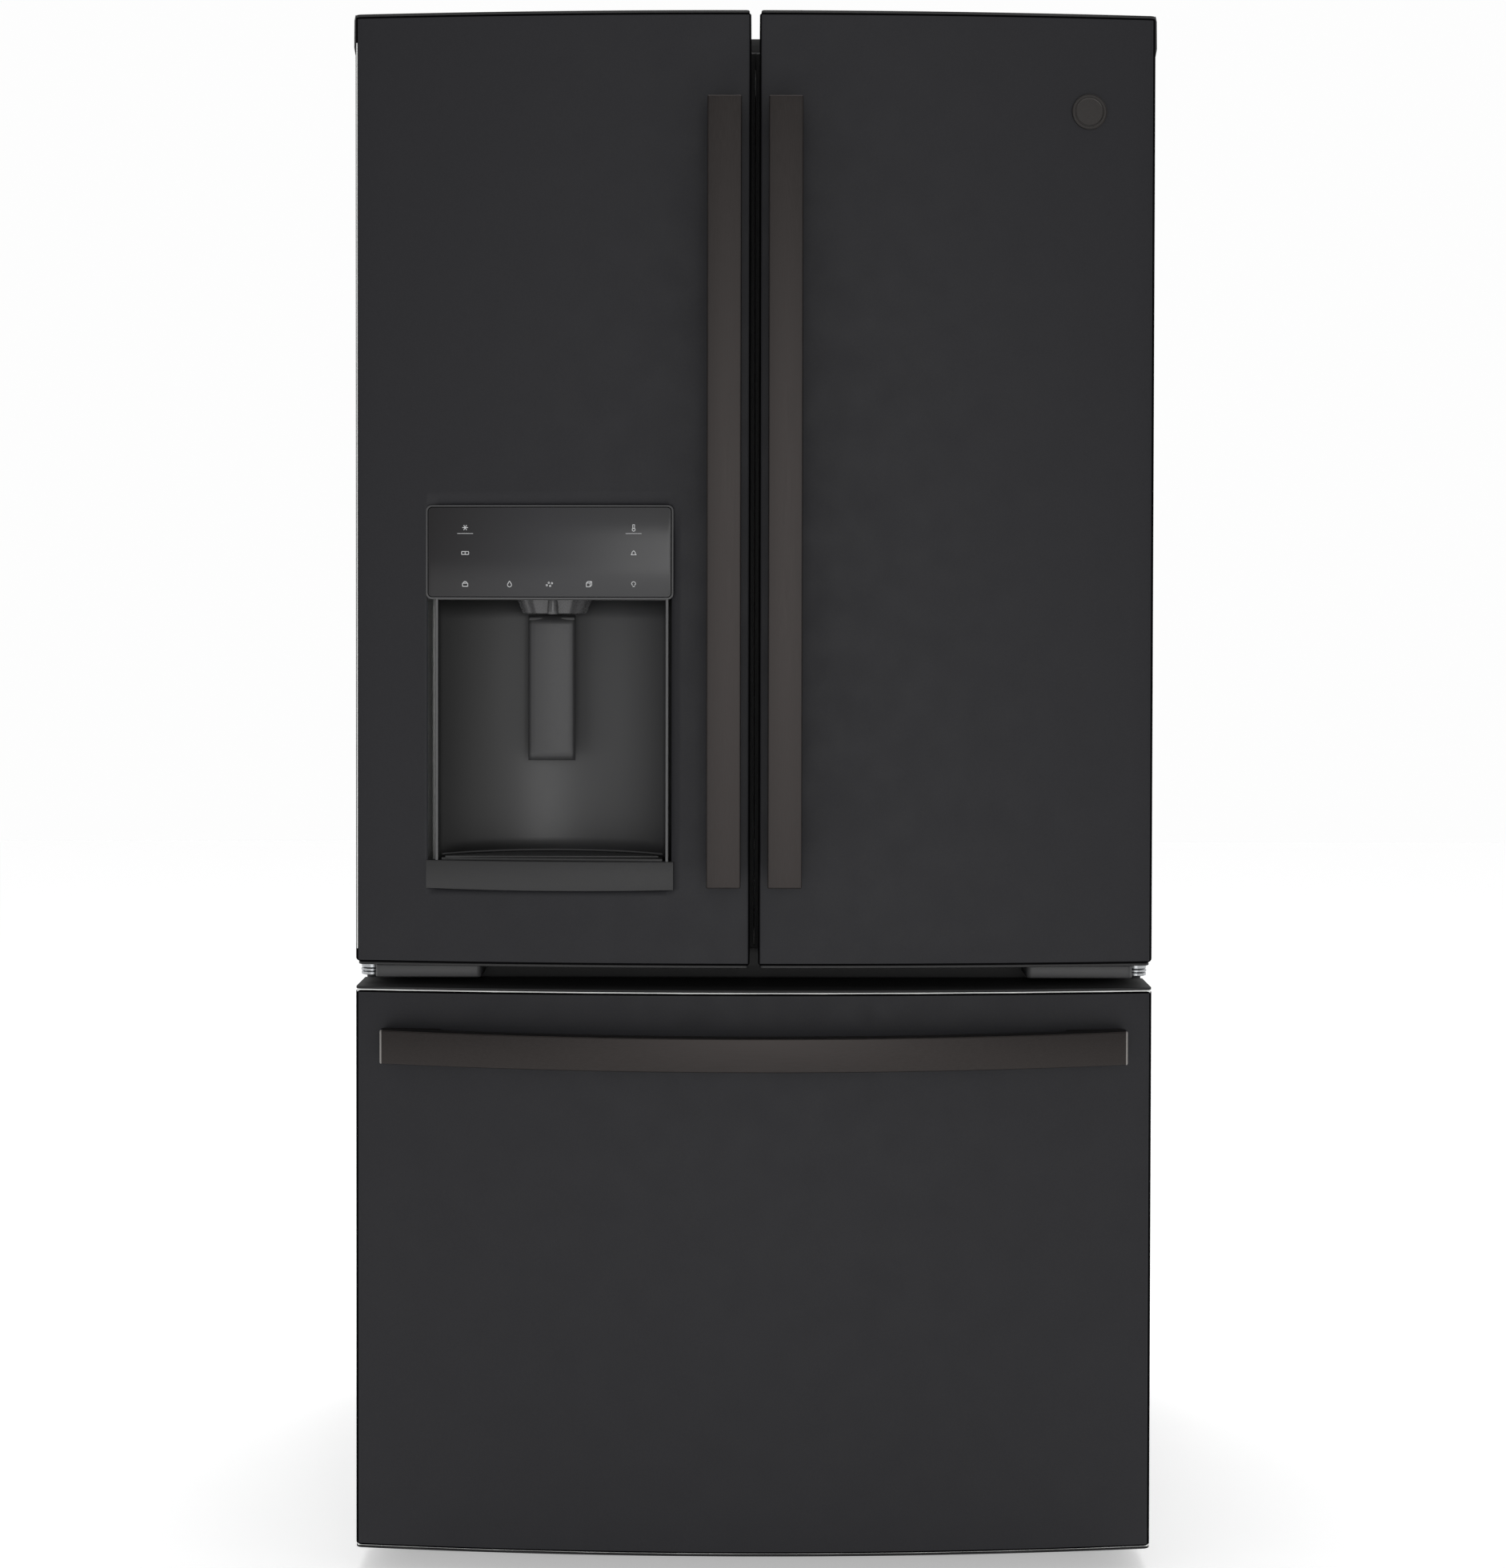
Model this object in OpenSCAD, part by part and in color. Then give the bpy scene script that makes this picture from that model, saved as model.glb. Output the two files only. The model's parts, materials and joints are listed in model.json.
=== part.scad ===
// French door refrigerator: two upper doors, a freezer drawer, an ice and water dispenser in the left door.
// Millimetres, +Z up, -Y is the front. The origin is on the floor under the middle of the outer box.

/* [Overall] */
// Width across the hinge corner caps
total_w = 908; // [750:1:1000]
// Depth of the case without the doors
case_d = 749; // [620:1:800]
// Height of the case top above the floor
case_h = 1743; // [1450:1:1850]
// Height of the door tops above the case top
door_rise = 25; // [22:1:40]
// Height of the hinge covers above the case top
cover_rise = 32; // [30:1:50]
// Gap between the case side and the corner cap's side
case_inset = 3; // [2:0.5:8]

/* [Doors] */
// Thickness of a door at its outer edge
door_t = 80; // [70:1:110]
// How far the front bows out at the middle
door_bow = 30; // [15:1:45]
// Space between a door and the case, filled by the gasket
gasket_t = 14; // [10:1:20]
// Gap between the two upper doors
door_gap = 9.5; // [6:0.5:14]
// Height of the drawer's bottom edge
drawer_z0 = 27; // [20:1:45]
// Height of the drawer's top edge
drawer_z1 = 668; // [600:1:810]
// Gap between the drawer and the upper doors
rail_gap = 25; // [24:1:34]
// Thickness of the steel skins
skin_t = 1.5; // [1:0.1:2.5]
// How far the corner caps stand out past the door's side
cap_bulge = 1.5; // [0.5:0.5:3]

/* [Handles] */
// How far the handles stand out from the front
handle_out = 60; // [50:1:80]
// Distance from a door's top to its handle
handle_drop = 103; // [70:1:200]
// Distance from a door's bottom to its handle
handle_rise = 95; // [80:1:200]
// Width of an upright handle
handle_w = 38; // [28:1:44]
// Thickness of the handle bars
handle_t = 20; // [14:1:26]
// Sideways distance from the middle to an upright handle
handle_x = 34; // [28:1:60]
// How far an upright handle bows along its length
handle_bow = 12; // [4:1:20]
// Distance from the drawer's side to the end of its handle
bar_inset = 33; // [28:1:150]
// How far the drawer handle bows
bar_bow = 58; // [30:1:62]
// Distance from the drawer's top to the middle of its handle
bar_drop = 64; // [40:1:180]

/* [Dispenser] */
// Sideways place of the dispenser's middle, as a share of the door half
disp_share = 0.5105; // [0.49:0.0005:0.53]
// Width of the recess
recess_w = 262; // [200:1:315]
// Height of the recess floor above the door's bottom
recess_rise = 120; // [100:1:200]
// Height of the recess
recess_h = 295; // [250:1:320]
// Height of the front lip below the recess
lip_h = 32; // [20:1:40]
// Height of the control glass
panel_h = 106; // [80:1:120]
// Width of the paddle
paddle_w = 54; // [40:1:60]
// Depth left behind the recess
recess_wall = 26; // [20:1:32]

/* [Cabinet] */
// Thickness of the case sheet
sheet_t = 1.2; // [0.8:0.1:2]
// Thickness of the plastic liners
liner_t = 2; // [1.5:0.1:3]
// Side wall, outside to inside, of the fresh food space
fresh_wall = 46; // [40:1:60]
// Side wall, outside to inside, of the freezer
freezer_wall = 60; // [50:1:70]
// Rear wall thickness
rear_wall = 58; // [50:1:70]
// Height of the fresh food floor above the drawer's top
fresh_rise = 54; // [47:1:62]
// Thickness of the top wall
top_wall = 48; // [40:1:60]
// Height of the freezer floor
freezer_z0 = 95; // [90:1:110]
// Height of the freezer ceiling below the drawer's top
freezer_drop = 28; // [23:1:48]
// Depth of the machine space
machine_d = 230; // [210:1:250]
// Height of the machine space's top
machine_z1 = 268; // [250:1:280]
// Height of the underside of the floor plate
floor_z = 60; // [54:1:66]

/* [Hinges] */
// Distance of the hinge axis from the case side
axis_in = 11; // [10:0.5:16]
// Distance of the hinge axis in front of the case
axis_out = 45; // [40:1:52]
// Hinge pin diameter
pin_d = 8; // [6:0.5:10]
// Width of the upper hinge arm
arm_w = 22; // [18:1:22]

/* [Fits] */
// Gap at a turning or sliding fit, per side
fit_gap = 0.3; // [0.2:0.05:0.5]
// Gap between pieces that move past each other
run_gap = 3; // [2:0.5:5]
// Wall of bins, drawers and baskets
tub_t = 3; // [2:0.5:5]

// Opening angle of the upper doors
door_swing = 120; // [90:5:120]

/* [Hidden] */
$fn = 96;
bow_fn = 256;
eps = 1;

// levels along Y
total_d = case_d + gasket_t + door_t + door_bow + handle_out;
y_back = total_d / 2;
y_case = y_back - case_d;
y_rear = y_case - gasket_t;
y_edge = y_rear - door_t;
y_nose = y_edge - door_bow;
y_grip = y_nose - handle_out;

// the doors' shared front arc
half_w = total_w / 2;
bow_r = (pow(half_w, 2) + pow(door_bow, 2)) / (2 * door_bow);
bow_y = y_nose + bow_r;
function front_y(x) = bow_y - sqrt(pow(bow_r, 2) - pow(x, 2));

door_half = half_w - cap_bulge;
case_half = half_w - case_inset;
axis_x = case_half - axis_in;
axis_y = y_case - axis_out;
door_z0 = drawer_z1 + rail_gap;
door_z1 = case_h + door_rise;
flange_w = 20;
flange_in = case_half - flange_w;

// cavities
fresh_z0 = drawer_z1 + fresh_rise;
freezer_z1 = drawer_z1 - freezer_drop;
fresh_half = case_half - fresh_wall;
fresh_z1 = case_h - top_wall;
fresh_y1 = y_back - rear_wall;
freezer_half = case_half - freezer_wall;
freezer_y1 = fresh_y1 - 10;
freezer_step_y = y_back - machine_d - 44;
freezer_step_z = machine_z1 + 30;
machine_y = y_back - machine_d;
plate_t = 2;

// centre rail
rail_z0 = freezer_z1 + 15;
rail_z1 = fresh_z0 - 17;
rail_d = 20;

// end caps
cap_lip = 3;
cap_plug = 18;
arm_t = 4;
arm_z = case_h + 13;
pocket_z = arm_z - 2;
pocket_reach = (half_w - axis_x) * tan(door_swing - 90) + (arm_w / 2 + 1) / cos(door_swing - 90) + run_gap;
pocket_in = 15;
corner_h = 45;
pin_fit_d = pin_d + 2 * fit_gap;
washer_d = 19;
hinge_plate_t = 4;
hinge_plate_z = drawer_z1 + 8;
hinge_in = axis_x - 128;
hinge_cover_out = axis_x - 12;

// fresh food fittings
shelf_front = y_case + 112;
track_d = 6;
track_w = 12;
shelf_back = fresh_y1 - liner_t - track_d;
shelf_h = 18;
glass_t = 4;
shelf_edge = 16;
deli_top = fresh_z0 + 102;
crisper_z0 = deli_top + 14;
crisper_top = crisper_z0 + 130;
cover_z = crisper_top + 4;
tub_front = y_case + 162;
tub_back = fresh_y1 - 26;
inner_half = fresh_half - liner_t;
shelf_room = fresh_z1 - cover_z;
shelf_left_z = [for (share = [0.19, 0.455]) cover_z + share * shelf_room];
shelf_right_z = [for (share = [0.29, 0.51, 0.715]) cover_z + share * shelf_room];
track_slots = 9;
track_x = [-inner_half + 30, -30, 30, inner_half - 30];

// doors' inner faces
dyke_d = 20;
dyke_w = 14;
dyke_out = inner_half - 6;
dyke_in = 44;
dyke_in_left = 60;
bin_d = 96;
bin_h = 90;
bins_tall = 4;
bins_short = 2;
bin_z0 = fresh_z0 + 26;
bin_pitch = (fresh_z1 - fresh_z0 - 60) / bins_tall;
gasket_w = 18;
gasket_out = flange_in - 1;
gasket_in = 12;

// mullion flap, which points rearward when folded
flap_x = -38;
flap_w = 76;
flap_t = 18;
flap_pin_d = 6;
lug_h = 6;
flap_y = y_case + fit_gap * 2;
flap_z0 = fresh_z0 + 14;
flap_z1 = fresh_z1 - 14;

// freezer rails
rail_in = freezer_half - liner_t;
rail_h = 36;
rail_lip = 4;
slide_z = 352;
slide_back = freezer_step_y - 16.5;
fixed_t = 10;
mid_t = 7;
inner_t = 6;
slide_gap = 0.5;
mid_x1 = rail_in - fixed_t - slide_gap;
slide_x1 = mid_x1 - mid_t - slide_gap;
slide_x0 = slide_x1 - inner_t;
basket_front = y_rear + dyke_d;
basket_back = slide_back - 6;
basket_half = slide_x0 - 2;
upper_z0 = slide_z + rail_h;
upper_back = slide_back - 76;

// dispenser
disp_x = -disp_share * door_half;
recess_z0 = door_z0 + recess_rise;
recess_z1 = recess_z0 + recess_h;
recess_half = recess_w / 2;
well_x0 = disp_x - recess_half - 9;
well_x1 = disp_x + recess_half + 9;
lip_z0 = recess_z0 - lip_h;
panel_z1 = recess_z1 + panel_h;
well_back = y_rear - 20;
recess_back = y_rear - recess_wall;
recess_r = 170;
panel_t = 6;
panel_proud = 1.5;
spout_w = 83;
spout_h = 16;
paddle_t = 4;
paddle_y = recess_back - 30;
paddle_z0 = recess_z0 + 111;
paddle_z1 = recess_z1 - spout_h - 2;
tray_t = 8;

// handle bars
handle_z0 = door_z0 + handle_rise;
handle_len = door_z1 - handle_drop - handle_z0;
post_in = 26;
post_d = 24;
bar_len = 2 * (half_w - bar_inset);
bar_z = drawer_z1 - bar_drop;
bar_mount = 68;

// badge
badge_x = door_half - 76.5;
badge_z = door_z1 - 110;
badge_r = 20;
badge_t = 2.5;
badge_ring = 3;
badge_step = 1;

// machine space
comp_x = 170;
comp_y = y_back - 115;
comp_r = 76;
comp_h = 165;
coil_x0 = 101 - case_half;
coil_x1 = -130;
coil_end = 12;
coil_row = 35;
stub_len = 14;
line_z = 120;
suction_z = 150;
fan_x = -85;
fan_r = 62;
pan_z = floor_z + plate_t + 3;
coil_z0 = pan_z + 30;
coil_line_z = coil_z0 + 20 + 3 * coil_row;
machine_mid_y = y_back - machine_d / 2;
fan_z = 160;

// rollers and legs
roller_d = 40;
roller_w = 22;
roller_x = case_half - 46;
front_roller_y = y_case + 60;
rear_roller_y = y_back - 70;
roller_axle_d = 8;
leg_x = roller_x;
leg_y = y_case + 20;
leg_pad_d = 36;
leg_pad_h = 9;
leg_stem_d = 12;

// evaporator
evap_cover_y = freezer_y1 - liner_t - 76;
evap_z0 = freezer_step_z + 20;
evap_fan_r = 50;
evap_ring_r = evap_fan_r + 7;
evap_fan_z = freezer_z1 - liner_t - evap_ring_r - 1;
evap_z1 = evap_fan_z - evap_ring_r - 15;
evap_half = rail_in - 139;

// water filter
filter_x = inner_half - 53;
filter_z = fresh_z1 - liner_t - 36;
filter_r = 26;
filter_y = y_case + 150;
filter_len = 190;
socket_y = filter_y + 70;
socket_half = 38;
socket_len = 90;
fitting_x = 39 - case_half;
fitting_z = 215;
fitting_r = 6.35;
fitting_len = 16;

module block(x, y, z) {
    translate([x[0], y[0], z[0]])
        cube([x[1] - x[0], y[1] - y[0], z[1] - z[0]]);
}

// children on the right side and again on the left
module both_sides() {
    children();
    mirror([1, 0, 0])
        children();
}

module rod_x(d, x, y, z) {
    translate([x[0], y, z])
        rotate([0, 90, 0])
            cylinder(d = d, h = x[1] - x[0]);
}

module rod_y(d, x, y, z) {
    translate([x, y[1], z])
        rotate([90, 0, 0])
            cylinder(d = d, h = y[1] - y[0]);
}

module rod_z(d, x, y, z) {
    translate([x, y, z[0]])
        cylinder(d = d, h = z[1] - z[0]);
}

// a block whose front follows the doors' arc, set back by inset
module bowed(x, z, y1, inset = 0) {
    intersection() {
        block(x, [y_nose - 10, y1], z);
        translate([0, bow_y, z[0] - eps])
            cylinder(r = bow_r - inset, h = z[1] - z[0] + 2 * eps, $fn = bow_fn);
    }
}

// a sheet that follows the doors' arc, from one inset to another
module bowed_sheet(x, z, outer, inner) {
    difference() {
        bowed(x, z, y_rear, outer);
        bowed([x[0] - eps, x[1] + eps], [z[0] - eps, z[1] + eps], y_rear + eps, inner);
    }
}

// a frame in the XZ plane
module ring(x, z, y, w) {
    difference() {
        block(x, y, z);
        block([x[0] + w, x[1] - w], [y[0] - eps, y[1] + eps], [z[0] + w, z[1] - w]);
    }
}

// an open-topped tub
module tub(x, y, z, t) {
    difference() {
        block(x, y, z);
        block([x[0] + t, x[1] - t], [y[0] + t, y[1] - t], [z[0] + t, z[1] + eps]);
    }
}

// a pipe through the listed points, with a ball at each bend
module pipe(points, d) {
    for (i = [0 : len(points) - 2]) {
        v = points[i + 1] - points[i];
        l = norm(v);
        translate(points[i])
            rotate([0, acos(v[2] / l), atan2(v[1], v[0])])
                cylinder(d = d, h = l);
    }
    for (i = [1 : len(points) - 2])
        translate(points[i])
            sphere(d = d);
}

// ---- cabinet ----

module outer_case() {
    color("#2c2c2e")
        difference() {
            block([-case_half, case_half], [y_case, y_back - sheet_t], [drawer_z0, case_h]);
            block([-case_half + sheet_t, case_half - sheet_t], [y_case + sheet_t, y_back],
                [0, case_h - sheet_t]);
            block([-flange_in, flange_in], [y_case - eps, y_back], [0, case_h - flange_w]);
        }
}

module rear_panel() {
    color("#8d9092")
        block([-case_half, case_half], [y_back - sheet_t, y_back], [machine_z1, case_h]);
}

module machine_space() {
    block([-case_half, case_half], [machine_y, y_back + eps], [0, machine_z1]);
}

module freezer_space(inset) {
    x = freezer_half - inset;
    block([-x, x], [y_case - eps, freezer_y1 - inset], [freezer_step_z + inset, freezer_z1 - inset]);
    block([-x, x], [y_case - eps, freezer_step_y - inset], [freezer_z0 + inset, freezer_z1 - inset]);
}

module fresh_space(inset) {
    x = fresh_half - inset;
    block([-x, x], [y_case - eps, fresh_y1 - inset], [fresh_z0 + inset, fresh_z1 - inset]);
}

module cabinet_foam() {
    x = case_half - sheet_t;
    color("#d9c98f")
        difference() {
            block([-x, x], [y_case + liner_t, y_back - sheet_t], [floor_z + plate_t, case_h - sheet_t]);
            fresh_space(0);
            freezer_space(0);
            machine_space();
            block([-x - eps, x + eps], [y_case, y_case + sheet_t + rail_d], [rail_z0, rail_z1]);
        }
}

module fresh_liner() {
    color("#f0f0ee")
        difference() {
            union() {
                fresh_space(0);
                block([-flange_in, flange_in], [y_case, y_case + liner_t], [rail_z1, case_h - flange_w]);
            }
            difference() {
                fresh_space(liner_t);
                // filter socket, moulded into the ceiling
                block([filter_x - socket_half, filter_x + socket_half], [socket_y, socket_y + socket_len],
                    [filter_z - socket_half, case_h]);
            }
            rod_y(2 * (filter_r + fit_gap), filter_x, [socket_y - eps, socket_y + socket_len - 5], filter_z);
            block([-case_half, case_half], [y_case - 2 * eps, y_case], [0, case_h]);
        }
}

module freezer_liner() {
    color("#ececea")
        difference() {
            union() {
                freezer_space(0);
                block([-flange_in, flange_in], [y_case, y_case + liner_t], [floor_z + plate_t, rail_z0]);
            }
            freezer_space(liner_t);
            block([-case_half, case_half], [y_case - 2 * eps, y_case], [0, case_h]);
        }
}

module center_rail() {
    x = case_half - sheet_t;
    y = y_case + sheet_t;
    color("#3a3a3c")
        difference() {
            block([-x, x], [y, y + rail_d], [rail_z0, rail_z1]);
            block([-x + sheet_t, x - sheet_t], [y + sheet_t, y + rail_d + eps],
                [rail_z0 + sheet_t, rail_z1 - sheet_t]);
        }
}

module side_channel() {
    channel_w = 62;
    wall = 4;
    pocket_end = 60;
    leg_room = 6;
    x1 = case_half - sheet_t;
    x0 = x1 - channel_w;
    z0 = 14;
    difference() {
        block([x0, x1], [y_case + wall, y_back - wall], [z0, floor_z]);
        // roller wells, open below
        for (y = [front_roller_y, rear_roller_y])
            block([roller_x - roller_w / 2 - run_gap, roller_x + roller_w / 2 + run_gap],
                [y - roller_d / 2 - run_gap, y + roller_d / 2 + run_gap], [0, floor_z - wall]);
        rod_z(leg_stem_d, leg_x, leg_y, [0, floor_z - leg_room]);
        // lightening pocket between the rollers
        block([x0 + wall, x1 - wall], [front_roller_y + pocket_end, rear_roller_y - pocket_end],
            [0, floor_z - wall]);
    }
    for (y = [front_roller_y, rear_roller_y])
        rod_x(roller_axle_d, [x0, x1], y, roller_d / 2);
}

module base_frame() {
    x = case_half - sheet_t;
    tie_w = 30;
    tie_h = 14;
    tie_end = 60;
    tie_front = y_case + 130;
    color("#4b4d4f") {
        block([-x, x], [y_case + sheet_t, y_back - sheet_t], [floor_z, floor_z + plate_t]);
        both_sides()
            side_channel();
        for (y = [tie_front, machine_y])
            block([-x + tie_end, x - tie_end], [y, y + tie_w], [floor_z - tie_h, floor_z]);
    }
}

module toe_grille() {
    end_gap = 66;
    x = case_half - sheet_t - end_gap;
    slots = 16;
    pitch = 2 * x / slots;
    slot_share = 0.6;
    first = (1 - slot_share) / 2;
    plate_y = y_case + 4;
    plate_d = 4;
    plate_z0 = 16;
    slot_z = [30, 46];
    color("#232324")
        difference() {
            block([-x, x], [plate_y, plate_y + plate_d], [plate_z0, floor_z]);
            for (i = [0 : slots - 1])
                block([-x + (i + first) * pitch, -x + (i + first + slot_share) * pitch],
                    [plate_y - plate_d, plate_y + plate_d + 2], slot_z);
        }
}

module machine_cover() {
    side_gap = 12;
    x = case_half - side_gap;
    cover_z0 = 30;
    slots = 12;
    slot_in = 241;
    slot_x = case_half - slot_in;
    slot_w = 220;
    slot_pitch = 13;
    slot_h = 6;
    slot_z0 = 90;
    fitting_gap = 7;
    color("#3b3c3d")
        difference() {
            block([-x, x], [y_back - sheet_t, y_back], [cover_z0, machine_z1]);
            for (side = [-1, 1])
                for (i = [0 : slots - 1])
                    block([side * slot_x - slot_w / 2, side * slot_x + slot_w / 2],
                        [y_back - 2 * sheet_t, y_back + eps],
                        [slot_z0 + i * slot_pitch, slot_z0 + slot_h + i * slot_pitch]);
            rod_y(2 * (fitting_r + fitting_gap), fitting_x, [y_back - 2 * sheet_t - eps, y_back + eps],
                fitting_z);
        }
}

module leveling_legs() {
    color("#5b5d60")
        both_sides() {
            rod_z(leg_pad_d, leg_x, leg_y, [0, leg_pad_h]);
            rod_z(leg_stem_d, leg_x, leg_y, [0, floor_z - 6]);
        }
}

module top_hinge() {
    riser = y_case + 6;
    leaf_w = 70;
    leaf_d = 90;
    screw_d = 6;
    screw_x = [axis_x - 55, axis_x - 25];
    screw_y = [y_case + 35, y_case + 70];
    difference() {
        union() {
            block([axis_x - leaf_w, axis_x + arm_w / 2], [riser, y_case + leaf_d], [case_h, case_h + arm_t]);
            block([axis_x - arm_w / 2, axis_x + arm_w / 2], [riser, riser + arm_t], [case_h, arm_z + arm_t]);
            block([axis_x - arm_w / 2, axis_x + arm_w / 2], [axis_y, riser + arm_t], [arm_z, arm_z + arm_t]);
            rod_z(arm_w, axis_x, axis_y, [arm_z, arm_z + arm_t]);
            rod_z(pin_d, axis_x, axis_y, [pocket_z - cap_plug, arm_z + arm_t]);
        }
        for (x = screw_x)
            for (y = screw_y)
                rod_z(screw_d, x, y, [case_h - eps, case_h + arm_t + eps]);
    }
}

module mid_hinge() {
    y0 = axis_y - washer_d / 2;
    z1 = hinge_plate_z + hinge_plate_t;
    // flange against the rail, under the case's front fold
    block([hinge_in, flange_in], [y_case + sheet_t - hinge_plate_t, y_case + sheet_t],
        [rail_z0 + 4, z1 + 8]);
    block([hinge_in, axis_x], [y0, y_case], [hinge_plate_z, z1]);
    rod_z(washer_d, axis_x, axis_y, [hinge_plate_z, door_z0 - fit_gap]);
    rod_z(pin_d, axis_x, axis_y, [hinge_plate_z, door_z0 + cap_plug - 1]);
    // rounded cover over the plate
    block([hinge_in, hinge_cover_out], [y0 + 6, y_case - 6], [hinge_plate_z, door_z0 - run_gap]);
}

module hinges() {
    color("#b9bbbd")
        both_sides() {
            top_hinge();
            mid_hinge();
        }
}

module hinge_covers() {
    z1 = case_h + cover_rise;
    t = 2;
    nose = arm_w / 2 + 1;
    inner = axis_x - 78;
    cover_y = [y_case + 2, y_case + 98];
    arm_room = 12;
    color("#1f1f20")
        both_sides()
            difference() {
                union() {
                    block([inner, axis_x + nose], cover_y, [case_h, z1]);
                    block([axis_x - nose, axis_x + nose], [axis_y, cover_y[0] + t], [arm_z + arm_t, z1]);
                    rod_z(2 * nose, axis_x, axis_y, [arm_z + arm_t, z1]);
                }
                block([inner + t, axis_x + arm_w / 2], [cover_y[0] + t, cover_y[1] - t],
                    [case_h - eps, z1 - t]);
                block([axis_x - arm_w / 2 - fit_gap, axis_x + arm_w / 2 + fit_gap],
                    [y_case, y_case + arm_room], [case_h - eps, arm_z + arm_t]);
            }
}

module compressor() {
    z = floor_z + plate_t;
    lift = 14;
    crown = comp_r / 2;
    crown_flat = 8;
    can_h = comp_h - crown - lift;
    base_half = [95, 70];
    base_z = [z + 10, z + 16];
    foot_at = [80, 55];
    foot_d = 22;
    foot_h = 12;
    box_half = 30;
    box_out = 34;
    box_in = 10;
    box_z = [z + 50, z + 115];
    stub_d = 14;
    color("#1d1d1f") {
        translate([comp_x, comp_y, z + lift]) {
            cylinder(r = comp_r, h = can_h);
            translate([0, 0, can_h])
                cylinder(r1 = comp_r, r2 = crown, h = crown - crown_flat);
        }
        block([comp_x - base_half[0], comp_x + base_half[0]], [comp_y - base_half[1], comp_y + base_half[1]],
            base_z);
        for (sx = [-1, 1])
            for (sy = [-1, 1])
                rod_z(foot_d, comp_x + sx * foot_at[0], comp_y + sy * foot_at[1], [z, z + foot_h]);
        // terminal box
        block([comp_x + comp_r - box_in, comp_x + comp_r + box_out], [comp_y - box_half, comp_y + box_half],
            box_z);
        rod_x(stub_d, [comp_x - comp_r - stub_len, comp_x], comp_y, line_z);
        rod_y(stub_d, comp_x, [comp_y - comp_r - stub_len, comp_y], suction_z);
    }
}

module condenser() {
    fins = 14;
    fin_half = 0.6;
    fin_d = 55;
    tube_d = 8;
    z0 = coil_z0;
    z1 = 250;
    row_in = 20;
    row_end = 10;
    pitch = (coil_x1 - coil_x0) / fins;
    shroud_x = coil_x1 + 8;
    shroud_t = 4;
    shroud_d = 80;
    shroud_end = 20;
    mouth = 12;
    arm_d = 70;
    arm_half = 8;
    motor_d = 34;
    motor_len = 10;
    color("#2a2a2c")
        difference() {
            union() {
                for (i = [0 : fins])
                    block([coil_x0 + i * pitch - fin_half, coil_x0 + i * pitch + fin_half],
                        [machine_mid_y - fin_d, machine_mid_y + fin_d], [z0, z1]);
                for (y = [-coil_row, 0, coil_row])
                    for (z = [z0 + row_in : coil_row : z1 - row_end])
                        rod_x(tube_d, [coil_x0 - coil_end, shroud_x], machine_mid_y + y, z);
                // shroud with the fan's round opening
                block([shroud_x, fan_x + shroud_end], [machine_mid_y - shroud_d, machine_mid_y + shroud_d],
                    [floor_z + plate_t, z1 + tube_d]);
            }
            rod_x(2 * (fan_r + run_gap), [shroud_x + shroud_t, fan_x + 2 * shroud_end], machine_mid_y, fan_z);
            rod_x(2 * (fan_r - mouth), [shroud_x - eps, fan_x], machine_mid_y, fan_z);
        }
    // motor bracket across the opening
    color("#2a2a2c") {
        block([shroud_x, shroud_x + shroud_t], [machine_mid_y - arm_d, machine_mid_y + arm_d],
            [fan_z - arm_half, fan_z + arm_half]);
        rod_x(motor_d, [shroud_x, shroud_x + motor_len], machine_mid_y, fan_z);
    }
}

// fan with pitched blades, spinning on the X axis
module fan_wheel(r, hub_r, width, blades) {
    chord = r * 0.52;
    reach = r * 0.94;
    blade_t = 2;
    blade_angle = 32;
    rotate([0, 90, 0]) {
        cylinder(r = hub_r, h = width);
        for (i = [0 : blades - 1])
            rotate([0, 0, i * 360 / blades])
                translate([hub_r - blade_t, 0, width / 2])
                    rotate([blade_angle, 0, 0])
                        translate([0, -chord / 2, -blade_t / 2])
                            cube([reach - hub_r, chord, blade_t]);
    }
}

module condenser_fan() {
    color("#353638")
        translate([coil_x1 + 18 + fit_gap, machine_mid_y, fan_z])
            fan_wheel(fan_r, 18, 24, 5);
}

module evaporator() {
    fins = 18;
    fin_half = 0.5;
    tube_d = 8;
    tube_end = 10;
    row_in = 20;
    row_pitch = 30;
    tube_in = 18;
    x1 = evap_half;
    y0 = evap_cover_y + 8;
    y1 = freezer_y1 - liner_t;
    pitch = 2 * x1 / fins;
    color("#c9cccd") {
        for (i = [0 : fins])
            block([-x1 + i * pitch - fin_half, -x1 + i * pitch + fin_half], [y0, y1], [evap_z0, evap_z1]);
        for (z = [evap_z0 + row_in : row_pitch : evap_z1 - tube_end])
            for (y = [y0 + tube_in, y1 - tube_in])
                rod_x(tube_d, [-x1 - tube_end, x1 + tube_end], y, z);
    }
}

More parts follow.
